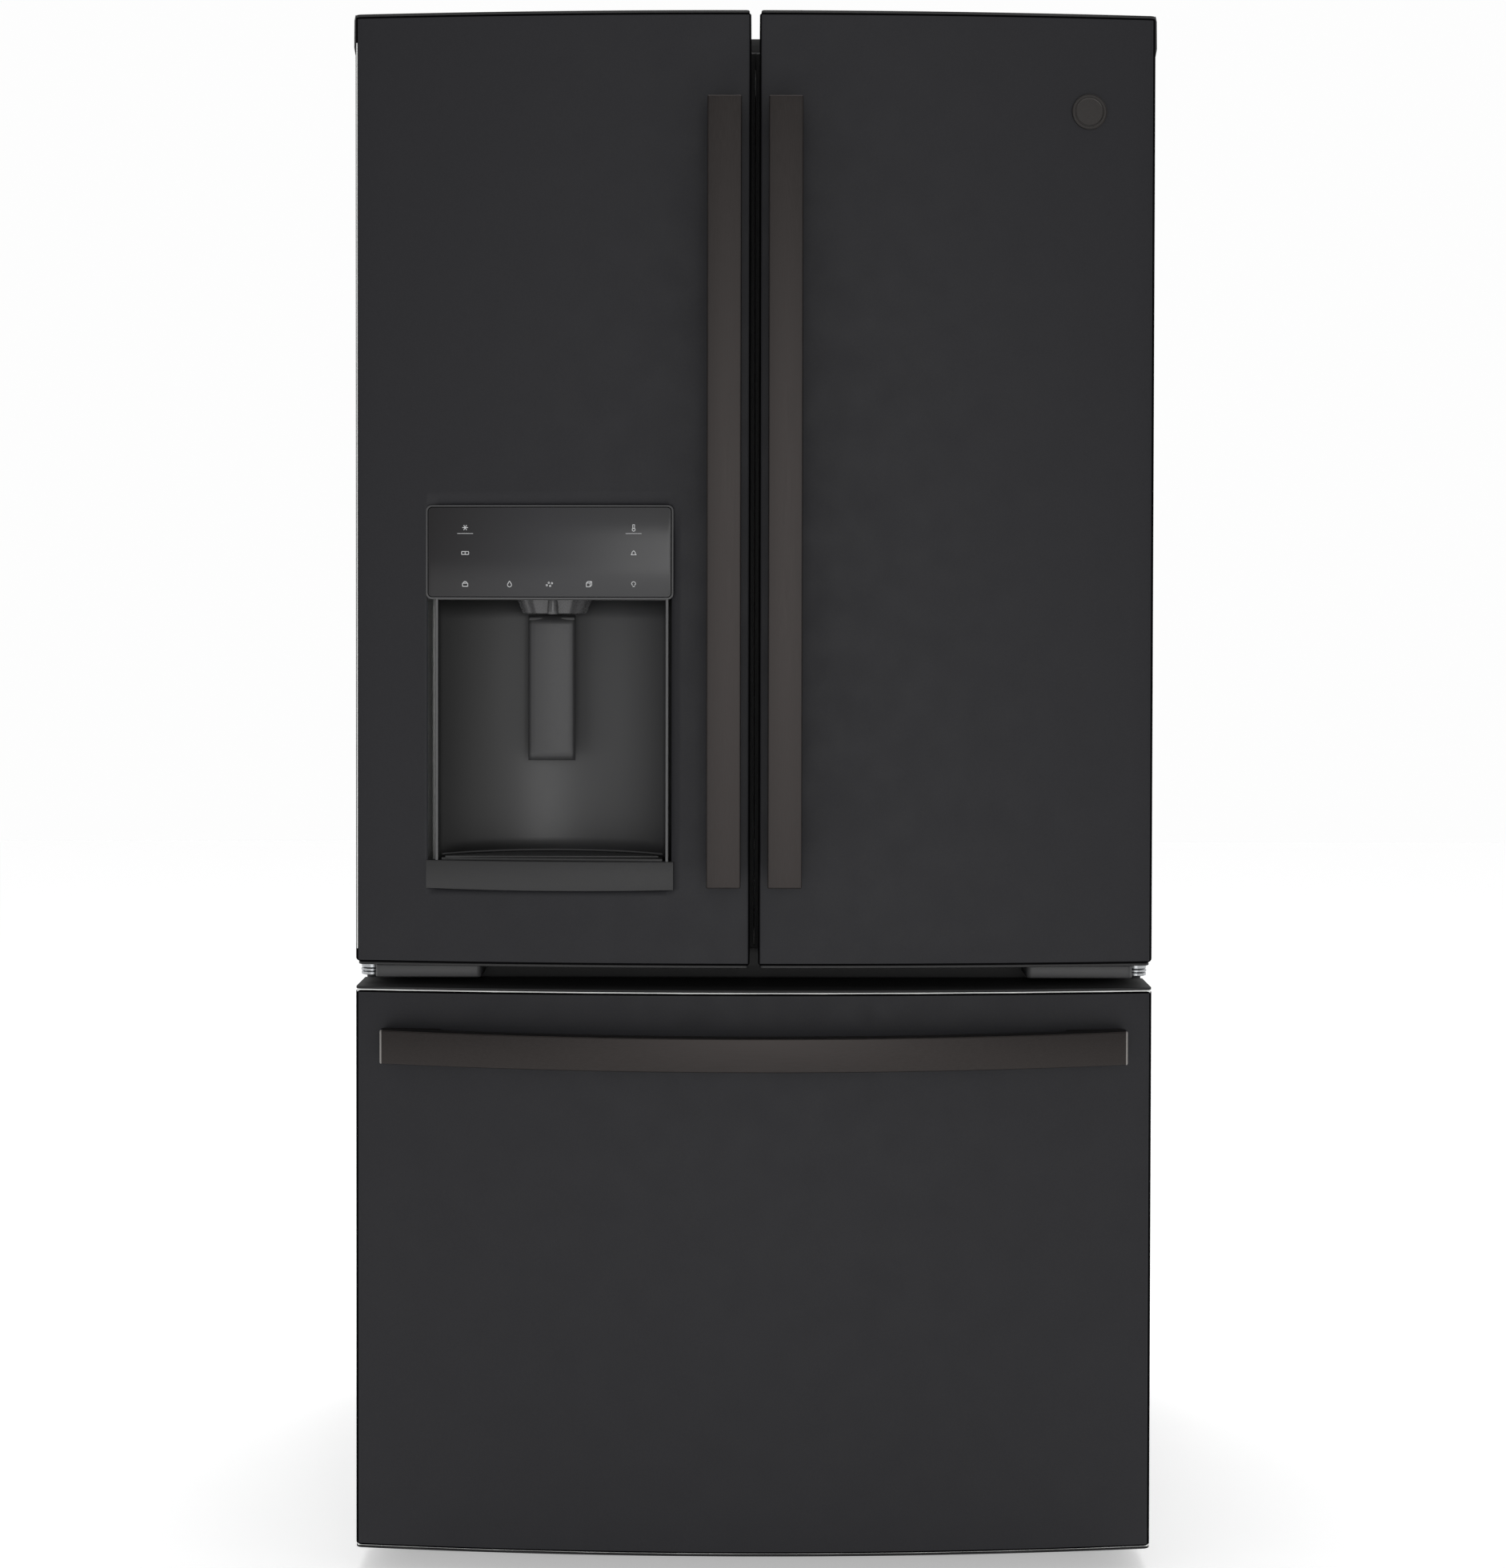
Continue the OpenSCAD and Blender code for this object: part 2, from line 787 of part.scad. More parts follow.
module evaporator_cover() {
    x = rail_in;
    z0 = freezer_step_z + liner_t;
    z1 = freezer_z1 - liner_t;
    ring_d = 32;
    fan_in = 6;
    grille_half = 36;
    grille_pitch = 12;
    grille_slot = 6;
    vent_half = 60;
    vent_z0 = z0 + 20;
    vent_pitch = 14;
    vent_h = 6;
    color("#e6e7e6")
        difference() {
            union() {
                block([-x, x], [evap_cover_y, evap_cover_y + liner_t], [z0, z1]);
                // fan ring behind the opening
                rod_y(2 * evap_ring_r, 0, [evap_cover_y, evap_cover_y + ring_d], evap_fan_z);
            }
            rod_y(2 * (evap_fan_r + run_gap), 0, [evap_cover_y + fan_in, evap_cover_y + ring_d + 8],
                evap_fan_z);
            for (i = [-3 : 3])
                block([-grille_half, grille_half], [evap_cover_y - eps, evap_cover_y + fan_in + 1],
                    [evap_fan_z + i * grille_pitch - grille_slot / 2,
                    evap_fan_z + i * grille_pitch + grille_slot / 2]);
            for (side = [-1, 1])
                for (i = [0 : 5])
                    block([side * evap_half - vent_half, side * evap_half + vent_half],
                        [evap_cover_y - eps, evap_cover_y + liner_t],
                        [vent_z0 + i * vent_pitch, vent_z0 + vent_h + i * vent_pitch]);
        }
}

module evaporator_fan() {
    color("#d4d5d4")
        translate([0, evap_cover_y + 8, evap_fan_z])
            rotate([0, 0, 90])
                fan_wheel(evap_fan_r, 15, 18, 5);
}

module drain_pan() {
    color("#6d6f71")
        tub([coil_x0 - 20, coil_x1 + 4], [machine_y + 8, y_back - 12],
            [floor_z + plate_t, pan_z + 28], tub_t);
}

module refrigerant_lines() {
    d = 8;
    y_far = y_back - 14;
    x_far = coil_x0 - 30;
    tube_y = machine_mid_y + coil_row;
    y_near = machine_y + 14;
    z_up = machine_z1 - 10;
    x_turn = comp_x - 110;
    x_rise = 20;
    color("#b5703f") {
        pipe([[comp_x - comp_r - stub_len, comp_y, line_z], [x_turn, comp_y, line_z],
            [x_turn, y_far, line_z], [x_turn, y_far, coil_line_z], [x_far, y_far, coil_line_z],
            [x_far, tube_y, coil_line_z], [coil_x0 - coil_end, tube_y, coil_line_z]], d);
        pipe([[comp_x, comp_y - comp_r - stub_len, suction_z], [comp_x, y_near, suction_z],
            [comp_x, y_near, z_up], [x_rise, y_near, z_up], [x_rise, y_near, machine_z1]], d);
    }
}

module water_valve() {
    y1 = y_back - sheet_t;
    y0 = y1 - 80;
    body_half = 22;
    body_up = 18;
    coil_half = 15;
    coil_d = 30;
    coil_h = 26;
    bracket_t = 6;
    neck_d = 20;
    neck = 6;
    color("#dfe0dd") {
        block([fitting_x - body_half, fitting_x + body_half], [y0, y1 - fitting_len - neck],
            [fitting_z - body_half, fitting_z + body_up]);
        block([fitting_x - coil_half, fitting_x + coil_half], [y0 + bracket_t, y0 + bracket_t + coil_d],
            [fitting_z + body_up, fitting_z + body_up + coil_h]);
        rod_y(neck_d, fitting_x, [y1 - fitting_len - neck, y1 - fitting_len], fitting_z);
        rod_y(2 * fitting_r, fitting_x, [y1 - fitting_len, y1], fitting_z);
        block([fitting_x - body_half, fitting_x + body_half], [y0, y0 + bracket_t], [fitting_z, machine_z1]);
    }
}

module shelf_tracks() {
    end_gap = 40;
    slot_half = 2;
    slot_start = 0.35;
    slot_end = 0.65;
    z0 = cover_z + end_gap;
    z1 = fresh_z1 - end_gap;
    pitch = (z1 - z0) / track_slots;
    y1 = fresh_y1 - liner_t;
    color("#dcdedf")
        for (x = track_x)
            difference() {
                block([x - track_w / 2, x + track_w / 2], [y1 - track_d, y1], [z0, z1]);
                for (i = [0 : track_slots - 1])
                    block([x - slot_half, x + slot_half], [y1 - track_d - eps, y1 - 2],
                        [z0 + (i + slot_start) * pitch, z0 + (i + slot_end) * pitch]);
            }
}

// where each glass lies: [x range, y range, z of the frame's top]
function shelf_list() = concat(
    [[[-inner_half, inner_half], [tub_front - 8, tub_back], deli_top + 12]],
    [[[-inner_half, inner_half], [tub_front - 8, tub_back], cover_z + shelf_h]],
    [for (z = shelf_left_z) [[-inner_half + 6, -8], [shelf_front, shelf_back], z]],
    [for (z = shelf_right_z) [[8, inner_half - 6], [shelf_front, shelf_back], z]]
);

function shelf_depth(s) = s[2] < cover_z ? 10 : shelf_h;

module shelf_frames() {
    color("#e3e5e6")
        for (s = shelf_list()) {
            x = s[0];
            y = s[1];
            z = s[2];
            difference() {
                block(x, y, [z - shelf_depth(s), z]);
                block([x[0] + shelf_edge, x[1] - shelf_edge], [y[0] + shelf_edge, y[1] - shelf_edge],
                    [z - shelf_h - eps, z + eps]);
                block([x[0] + shelf_edge / 2, x[1] - shelf_edge / 2],
                    [y[0] + shelf_edge / 2, y[1] - shelf_edge / 2],
                    [z - glass_t - 1, z + eps]);
            }
        }
}

module shelf_glass() {
    color("#bcd8d2", 0.5)
        for (s = shelf_list())
            block([s[0][0] + shelf_edge / 2, s[0][1] - shelf_edge / 2],
                [s[1][0] + shelf_edge / 2, s[1][1] - shelf_edge / 2], [s[2] - glass_t - 1, s[2] - 1]);
}

module freezer_rails() {
    color("#a9acae")
        both_sides() {
            z = [slide_z - rail_lip, slide_z + rail_h + rail_lip];
            difference() {
                block([mid_x1 - mid_t, rail_in], [y_case + 6, slide_back], z);
                block([mid_x1 - mid_t - eps, mid_x1 + slide_gap], [y_case, slide_back + eps],
                    [slide_z - slide_gap, slide_z + rail_h + slide_gap]);
            }
        }
}

module ice_maker() {
    house_h = 195;
    house_d = 250;
    house_front = 8;
    back_wall = 20;
    roof = 40;
    mould_front = 60;
    mould_z = 60;
    mould_h = 40;
    z0 = fresh_z1 - house_h;
    x1 = -70;
    wall = 30;
    room_back = shelf_front + house_d - back_wall;
    color("#f3f3f1")
        difference() {
            block([-inner_half, x1], [shelf_front + house_front, shelf_front + house_d],
                [z0, fresh_z1 - liner_t]);
            block([-inner_half + wall, x1 - wall], [shelf_front, room_back],
                [z0 + back_wall, fresh_z1 - roof]);
        }
    // tray of ice moulds, let into the back wall
    color("#9b9ea0")
        block([-inner_half + 2 * wall, x1 - 2 * wall], [shelf_front + mould_front, room_back + 1],
            [z0 + mould_z, z0 + mould_z + mould_h]);
}

// ---- drawers that slide in the fresh food space ----

module pull_tub(x, z) {
    grip = 24;
    rim_d = 12;
    groove_d = 9;
    groove_end = 40;
    groove_cap = 4;
    difference() {
        union() {
            tub(x, [tub_front, tub_back - run_gap], z, tub_t);
            block([x[0], x[1]], [tub_front, tub_front + rim_d], [z[1] - grip, z[1]]);
        }
        // finger groove under the front rim
        block([x[0] + groove_end, x[1] - groove_end], [tub_front + tub_t, tub_front + groove_d],
            [z[1] - grip - eps, z[1] - groove_cap]);
    }
}

module crisper_right() {
    color("#d7e3e6", 0.6)
        pull_tub([run_gap, inner_half - run_gap], [crisper_z0, crisper_top]);
}

module crisper_left() {
    color("#d7e3e6", 0.6)
        mirror([1, 0, 0])
            pull_tub([run_gap, inner_half - run_gap], [crisper_z0, crisper_top]);
}

module deli_drawer() {
    color("#dfe7e8", 0.6)
        pull_tub([-inner_half + run_gap, inner_half - run_gap],
            [fresh_z0 + liner_t + fit_gap, deli_top - 2]);
}

module water_filter() {
    collar = 4;
    collar_y = filter_y + 8;
    body_y = filter_y + 20;
    wing_y = filter_y - 4;
    wing_half = 5;
    end_gap = 6;
    color("#f4f5f6") {
        rod_y(2 * filter_r, filter_x, [body_y, socket_y + socket_len - end_gap], filter_z);
        rod_y(2 * (filter_r + collar), filter_x, [collar_y, body_y], filter_z);
        // wing to turn it by
        block([filter_x - filter_r + 2, filter_x + filter_r - 2], [wing_y, collar_y],
            [filter_z - wing_half, filter_z + wing_half]);
    }
}

module roller_pair(y) {
    both_sides()
        difference() {
            rod_x(roller_d, [roller_x - roller_w / 2, roller_x + roller_w / 2], y, roller_d / 2);
            rod_x(roller_axle_d + 2 * fit_gap, [0, half_w], y, roller_d / 2);
        }
}

module front_rollers() {
    color("#3a3b3d")
        roller_pair(front_roller_y);
}

module rear_rollers() {
    color("#3a3b3d")
        roller_pair(rear_roller_y);
}

// ---- upper doors, drawn for the right side ----

module hinge_pocket(grow = 0) {
    block([axis_x - pocket_in - grow, half_w + 10], [axis_y - pocket_reach - grow, y_rear + 10],
        [pocket_z, door_z1 + 10]);
}

module door_skin(x0) {
    z = [door_z0 + cap_lip, door_z1 - cap_lip];
    difference() {
        bowed([x0, door_half], z, y_rear);
        bowed([x0 + skin_t, door_half - skin_t], [z[0] - eps, z[1] + eps], y_rear + eps, skin_t);
        hinge_pocket();
    }
}

module door_caps(x0) {
    z0 = door_z0;
    z1 = door_z1;
    // lower cap with the bushing for the middle hinge pin
    difference() {
        union() {
            bowed([x0, door_half], [z0, z0 + cap_lip], y_rear);
            bowed([x0 + skin_t, door_half - skin_t], [z0, z0 + cap_plug], y_rear, skin_t);
        }
        rod_z(pin_fit_d, axis_x, axis_y, [z0 - eps, z0 + cap_plug + eps]);
    }
    // upper cap with the pocket that the hinge arm swings in
    difference() {
        union() {
            bowed([x0, door_half], [z1 - cap_lip, z1], y_rear);
            bowed([x0 + skin_t, door_half - skin_t], [pocket_z - cap_plug, z1], y_rear, skin_t);
            block([door_half, half_w], [axis_y - pocket_reach - 20, axis_y - pocket_reach],
                [door_z1 - corner_h, door_z1]);
            block([door_half, half_w], [axis_y - pocket_reach, y_rear - 4], [door_z1 - corner_h, pocket_z]);
        }
        hinge_pocket();
        rod_z(pin_fit_d, axis_x, axis_y, [pocket_z - cap_plug - eps, pocket_z + eps]);
    }
}

module inner_door(x0, dyke_x) {
    z = [door_z0 + cap_plug, pocket_z - cap_plug];
    bowed([x0 + skin_t, door_half - skin_t], z, y_rear, skin_t);
    // raised dyke that keeps the cold in and holds the bins
    ring([dyke_x, dyke_out], [fresh_z0 + 10, fresh_z1 - 10], [y_rear - eps, y_rear + dyke_d], dyke_w);
}

module door_gasket() {
    ring([gasket_in, gasket_out], [rail_z1 - 4, case_h - 10], [y_rear, y_case - fit_gap], gasket_w);
}

module door_bin(z, dyke_x) {
    tub([dyke_x + dyke_w, dyke_out - dyke_w], [y_rear, y_rear + bin_d], [z, z + bin_h], tub_t);
}

// posts that carry a bar handle, ended on the door's bowed front
module upright_handle() {
    r = (pow(handle_len / 2, 2) + pow(handle_bow, 2)) / (2 * handle_bow);
    zc = handle_z0 + handle_len / 2;
    steps = 28;
    reach = asin(handle_len / 2 / r);
    outer = [for (i = [-steps : steps])
        [y_grip + r - r * cos(i * reach / steps), zc + r * sin(i * reach / steps)]];
    inner = [for (p = outer) [p[0] + handle_t, p[1]]];
    points = concat(outer, [for (i = [len(inner) - 1 : -1 : 0]) inner[i]]);
    x0 = handle_x - handle_w / 2;
    translate([x0, 0, 0])
        rotate([90, 0, 90])
            linear_extrude(height = handle_w)
                polygon(points);
    difference() {
        for (z = [handle_z0 + post_in, handle_z0 + handle_len - post_in])
            rod_y(post_d, handle_x, [y_grip + handle_bow + handle_t - 4, y_edge], z);
        bowed([0, half_w], [door_z0, door_z1], y_rear);
    }
}

module right_door_skin() {
    color("#303032")
        door_skin(door_gap / 2);
}

module right_inner_door() {
    color("#ededeb")
        inner_door(door_gap / 2, dyke_in);
}

module right_door_caps() {
    color("#161617")
        door_caps(door_gap / 2);
}

module right_handle() {
    color("#3a3632")
        upright_handle();
}

module right_gasket() {
    color("#8f9193")
        door_gasket();
}

module right_door_bins() {
    color("#dbe6e8", 0.7)
        for (i = [0 : bins_tall - 1])
            door_bin(bin_z0 + i * bin_pitch, dyke_in);
}

// a disc that lies flat on the bowed front
module badge() {
    turn = asin(badge_x / bow_r);
    color("#a8aaac")
        translate([badge_x, front_y(badge_x), badge_z])
            rotate([90, 0, turn])
                difference() {
                    cylinder(r = badge_r, h = badge_t);
                    translate([0, 0, badge_t - badge_step])
                        cylinder(r = badge_r - badge_ring, h = badge_t);
                }
}

// ---- left door ----

module well_opening() {
    block([well_x0, well_x1], [y_grip, well_back], [lip_z0, panel_z1]);
}

module left_door_skin() {
    color("#303032")
        difference() {
            mirror([1, 0, 0])
                door_skin(door_gap / 2);
            well_opening();
        }
}

module left_inner_door() {
    color("#ededeb") {
        difference() {
            mirror([1, 0, 0])
                inner_door(door_gap / 2, dyke_in_left);
            well_opening();
        }
        // lugs that carry the flap's pins
        for (z = [flap_z0 - 1 - lug_h, flap_z1 + 1])
            difference() {
                block([flap_x - 10, flap_x + 7], [y_rear, flap_y + 7], [z, z + lug_h]);
                rod_z(flap_pin_d + 2 * fit_gap, flap_x, flap_y, [z - eps, z + lug_h + eps]);
            }
    }
}

module left_door_caps() {
    color("#161617")
        mirror([1, 0, 0])
            door_caps(door_gap / 2);
}

module left_handle() {
    color("#3a3632")
        mirror([1, 0, 0])
            upright_handle();
}

module left_gasket() {
    color("#8f9193")
        mirror([1, 0, 0])
            door_gasket();
}

module left_door_bins() {
    color("#dbe6e8", 0.7)
        mirror([1, 0, 0])
            for (i = [0 : bins_short - 1])
                door_bin(bin_z0 + i * bin_pitch, dyke_in_left);
}

module recess_space(z0) {
    intersection() {
        block([disp_x - recess_half, disp_x + recess_half], [y_grip, recess_back], [z0, recess_z1]);
        translate([disp_x, recess_back - recess_r, z0 - eps])
            cylinder(r = recess_r, h = recess_z1 - z0 + 2 * eps);
    }
}

module dispenser_well() {
    color("#38383a")
        difference() {
            union() {
                bowed([well_x0, well_x1], [lip_z0, recess_z1], well_back, -1);
                bowed([well_x0, well_x1], [recess_z1, panel_z1], well_back, panel_t);
            }
            recess_space(recess_z0);
        }
}

module dispenser_panel() {
    color("#4a4a4c")
        bowed_sheet([well_x0, well_x1], [recess_z1, panel_z1], -panel_proud, panel_t);
}

module dispenser_spout() {
    y0 = recess_back - 62;
    y1 = recess_back - 24;
    tube_y = recess_back - 46;
    tube_d = 15;
    bore_d = 9;
    bore_end = 8;
    color("#8a8c8e")
        difference() {
            union() {
                block([disp_x - spout_w / 2, disp_x + spout_w / 2], [y0, y1],
                    [recess_z1 - spout_h, recess_z1]);
                rod_z(tube_d, disp_x, tube_y, [recess_z1 - spout_h - 1, recess_z1]);
            }
            rod_z(bore_d, disp_x, tube_y, [recess_z1 - spout_h - 2, recess_z1 - bore_end]);
        }
}

module dispenser_paddle() {
    color("#3f3f41") {
        block([disp_x - paddle_w / 2, disp_x + paddle_w / 2], [paddle_y - paddle_t, paddle_y],
            [paddle_z0, paddle_z1]);
        rod_x(8, [disp_x - paddle_w / 2, disp_x + paddle_w / 2], paddle_y - 2, paddle_z1 - 4);
    }
}

module drip_tray() {
    slots = 9;
    slot_half = 85;
    slot_y = recess_back - 60;
    slot_pitch = 6;
    slot_w = 3;
    floor_t = 3;
    color("#252527")
        difference() {
            intersection() {
                block([disp_x - recess_half, disp_x + recess_half], [front_y(disp_x), recess_back],
                    [recess_z0, recess_z0 + tray_t]);
                translate([disp_x, recess_back - recess_r, recess_z0 - eps])
                    cylinder(r = recess_r - 1, h = tray_t + 2 * eps);
            }
            for (i = [0 : slots - 1])
                block([disp_x - slot_half, disp_x + slot_half],
                    [slot_y + i * slot_pitch, slot_y + i * slot_pitch + slot_w],
                    [recess_z0 + floor_t, recess_z0 + tray_t + eps]);
        }
}

module ice_bucket() {
    z = [panel_z1 - 34, fresh_z1 - 85];
    t = 6;
    chute_half = 70;
    chute_y = [y_rear + 20, y_rear + 80];
    color("#f1f1ef")
        difference() {
            tub([-dyke_out + dyke_w, -dyke_in_left - dyke_w], [y_rear, y_rear + bin_d], z, t);
            // chute hole in the floor
            block([disp_x - chute_half, disp_x + chute_half], chute_y, [z[0] - eps, z[0] + t + eps]);
        }
}

module mullion_flap() {
    color("#2a2a2b") {
        block([flap_x - flap_t, flap_x], [flap_y, flap_y + flap_w], [flap_z0, flap_z1]);
        rod_z(flap_pin_d, flap_x, flap_y, [flap_z0 - lug_h, flap_z1 + lug_h]);
    }
}

// ---- freezer drawer ----

module drawer_skin() {
    z = [drawer_z0, drawer_z1];
    color("#303032")
        difference() {
            bowed([-door_half, door_half], z, y_rear);
            bowed([-door_half + skin_t, door_half - skin_t], [z[0] + skin_t, z[1] - skin_t],
                y_rear + eps, skin_t);
        }
}

module drawer_inner() {
    z = [drawer_z0 + skin_t, drawer_z1 - skin_t];
    x = freezer_half - 20;
    color("#ededeb") {
        bowed([-door_half + skin_t, door_half - skin_t], z, y_rear, skin_t);
        ring([-x, x], [freezer_z0 + 14, freezer_z1 - 14], [y_rear - eps, y_rear + dyke_d], dyke_w);
    }
}

module drawer_handle() {
    r = (pow(bar_len / 2, 2) + pow(bar_bow, 2)) / (2 * bar_bow);
    z = [bar_z - handle_w / 2, bar_z + handle_w / 2];
    color("#3d3935") {
        intersection() {
            difference() {
                translate([0, y_grip + r, z[0]])
                    cylinder(r = r, h = z[1] - z[0], $fn = bow_fn);
                translate([0, y_grip + r, z[0] - eps])
                    cylinder(r = r - handle_t, h = z[1] - z[0] + 2 * eps, $fn = bow_fn);
            }
            block([-bar_len / 2, bar_len / 2], [y_grip - 5, y_edge], z);
        }
        both_sides()
            difference() {
                block([bar_len / 2 - bar_mount, bar_len / 2], [y_grip + bar_bow + 2, y_edge], z);
                translate([0, y_grip + r, z[0] - eps])
                    difference() {
                        cylinder(r = 2 * r, h = z[1] - z[0] + 2 * eps);
                        translate([0, 0, -eps])
                            cylinder(r = r - handle_t / 2, h = z[1] - z[0] + 4 * eps, $fn = bow_fn);
                    }
                bowed([-half_w, half_w], [drawer_z0, drawer_z1], y_rear);
            }
    }
}

module drawer_gasket() {
    x = freezer_half + gasket_w;
    color("#8f9193")
        ring([-x, x], [freezer_z0 - gasket_w, freezer_z1 + gasket_w], [y_rear, y_case - fit_gap], gasket_w);
}

module drawer_basket() {
    z = [freezer_z0 + 14, slide_z - 2];
    vents = 8;
    vent_w = 0.6;
    vent_start = 0.7;
    vent_low = 40;
    vent_high = 60;
    rim_t = 4;
    vent_pitch = (basket_back - basket_front) / (vents + vent_w);
    color("#c8cacc") {
        difference() {
            tub([-basket_half, basket_half], [basket_front, basket_back], z, tub_t);
            // vent slots in the two side walls
            for (i = [0 : vents - 1])
                block([-basket_half - eps, basket_half + eps],
                    [basket_front + (i + vent_start) * vent_pitch,
                    basket_front + (i + vent_start + vent_w) * vent_pitch],
                    [z[0] + vent_low, z[1] - vent_high]);
        }
        // rim that rests on the rails' lip
        both_sides()
            block([basket_half - eps, slide_x0 + 1], [basket_front, basket_back],
                [slide_z - rim_t - 2, slide_z - 2]);
    }
}

module drawer_rails() {
    color("#c2c4c6")
        both_sides() {
            block([slide_x0, slide_x1], [basket_front, slide_back], [slide_z, slide_z + rail_h]);
            block([slide_x0 - 1, slide_x1], [basket_front, basket_back], [slide_z - 2, slide_z]);
        }
}

module rail_mids() {
    color("#b4b6b8")
        both_sides()
            block([mid_x1 - mid_t, mid_x1], [y_case + 6, slide_back], [slide_z, slide_z + rail_h]);
}

module upper_basket() {
    z0 = upper_z0 + fit_gap;
    side_gap = 8;
    drop = 20;
    rise = 110;
    rim_t = 4;
    color("#cfd1d3") {
        tub([-slide_x0 + side_gap, slide_x0 - side_gap], [basket_front, upper_back], [z0 - drop, z0 + rise],
            tub_t);
        both_sides()
            block([slide_x0 - side_gap - eps, slide_x1], [basket_front, upper_back], [z0, z0 + rim_t]);
    }
}

outer_case();
rear_panel();
cabinet_foam();
fresh_liner();
freezer_liner();
center_rail();
base_frame();
toe_grille();
machine_cover();
leveling_legs();
hinges();
hinge_covers();
compressor();
condenser();
evaporator();
evaporator_cover();
drain_pan();
refrigerant_lines();
water_valve();
shelf_tracks();
shelf_frames();
shelf_glass();
freezer_rails();
ice_maker();
crisper_left();
crisper_right();
deli_drawer();
water_filter();
condenser_fan();
evaporator_fan();
front_rollers();
rear_rollers();
left_door_skin();
left_inner_door();
left_door_caps();
left_handle();
left_gasket();
left_door_bins();
dispenser_well();
dispenser_panel();
dispenser_spout();
drip_tray();
ice_bucket();
dispenser_paddle();
mullion_flap();
right_door_skin();
right_inner_door();
right_door_caps();
right_handle();
right_gasket();
right_door_bins();
badge();
drawer_skin();
drawer_inner();
drawer_handle();
drawer_gasket();
drawer_basket();
drawer_rails();
rail_mids();
upper_basket();
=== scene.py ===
import json
import math

import bmesh
import bpy
from mathutils import Matrix, Vector


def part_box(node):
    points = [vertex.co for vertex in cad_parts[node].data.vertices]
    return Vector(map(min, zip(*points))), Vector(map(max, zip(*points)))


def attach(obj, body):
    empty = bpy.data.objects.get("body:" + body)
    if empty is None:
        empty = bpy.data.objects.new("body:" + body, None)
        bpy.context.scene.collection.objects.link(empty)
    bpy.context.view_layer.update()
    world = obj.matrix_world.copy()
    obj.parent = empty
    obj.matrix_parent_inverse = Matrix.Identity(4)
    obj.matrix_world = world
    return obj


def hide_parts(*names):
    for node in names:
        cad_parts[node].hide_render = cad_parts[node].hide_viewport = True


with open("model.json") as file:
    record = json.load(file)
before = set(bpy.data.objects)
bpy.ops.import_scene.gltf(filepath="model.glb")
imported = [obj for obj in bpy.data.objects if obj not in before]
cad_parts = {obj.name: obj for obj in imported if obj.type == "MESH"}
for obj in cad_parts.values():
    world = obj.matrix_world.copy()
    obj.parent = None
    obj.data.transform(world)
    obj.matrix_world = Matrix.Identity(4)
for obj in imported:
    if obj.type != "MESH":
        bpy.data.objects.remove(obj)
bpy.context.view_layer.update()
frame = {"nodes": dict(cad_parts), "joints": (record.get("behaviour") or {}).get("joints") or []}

# French door refrigerator. Lengths are millimetres until a mesh is made; -Y is the front.

unit = 0.001  # metres in one millimetre

front = {
    "bow": 30.0,  # the middle stands this far ahead of the sides
    "skin": 1.2,
    "outerRadius": 8.0,  # upright corners at the outside, and where the doors meet
    "innerRadius": 4.0,
    "curl": 2.4,  # rolled upper and lower edges
    "fold": 14.0,  # return behind each side
    "edge": 0.45,  # share of an upright corner painted black as painted shade
    "corner": 5.0,  # the four corners as seen from the front
    "column": 18.0,  # width of one facet of the bow
}


def boxOf(node):
    low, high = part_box(node)
    return [v / unit for v in low], [v / unit for v in high]


skinLow, skinHigh = boxOf("drawer_skin")
rear = skinHigh[1]
doorHalf = skinHigh[0]
halfWidth = boxOf("right_door_caps")[1][0]
bowRadius = (halfWidth ** 2 + front["bow"] ** 2) / (2 * front["bow"])
bowCentre = skinLow[1] + bowRadius


def frontY(x, inset=0.0):
    return bowCentre - math.sqrt((bowRadius - inset) ** 2 - x * x)


def linear(hexText, alpha=1.0):
    rgb = [int(hexText[i:i + 2], 16) / 255 for i in (1, 3, 5)]
    return [c / 12.92 if c <= 0.04045 else ((c + 0.055) / 1.055) ** 2.4 for c in rgb] + [alpha]


def addNode(tree, kind, settings=None, links=None, **sockets):
    node = tree.nodes.new(kind)
    for key, value in (settings or {}).items():
        setattr(node, key, value)
    for key, value in sockets.items():
        node.inputs[key.replace("_", " ")].default_value = value
    for key, source in (links or {}).items():
        tree.links.new(source, node.inputs[key])
    return node


noiseSpread = (0.3, 0.7)  # nearly all of the noise lies between these


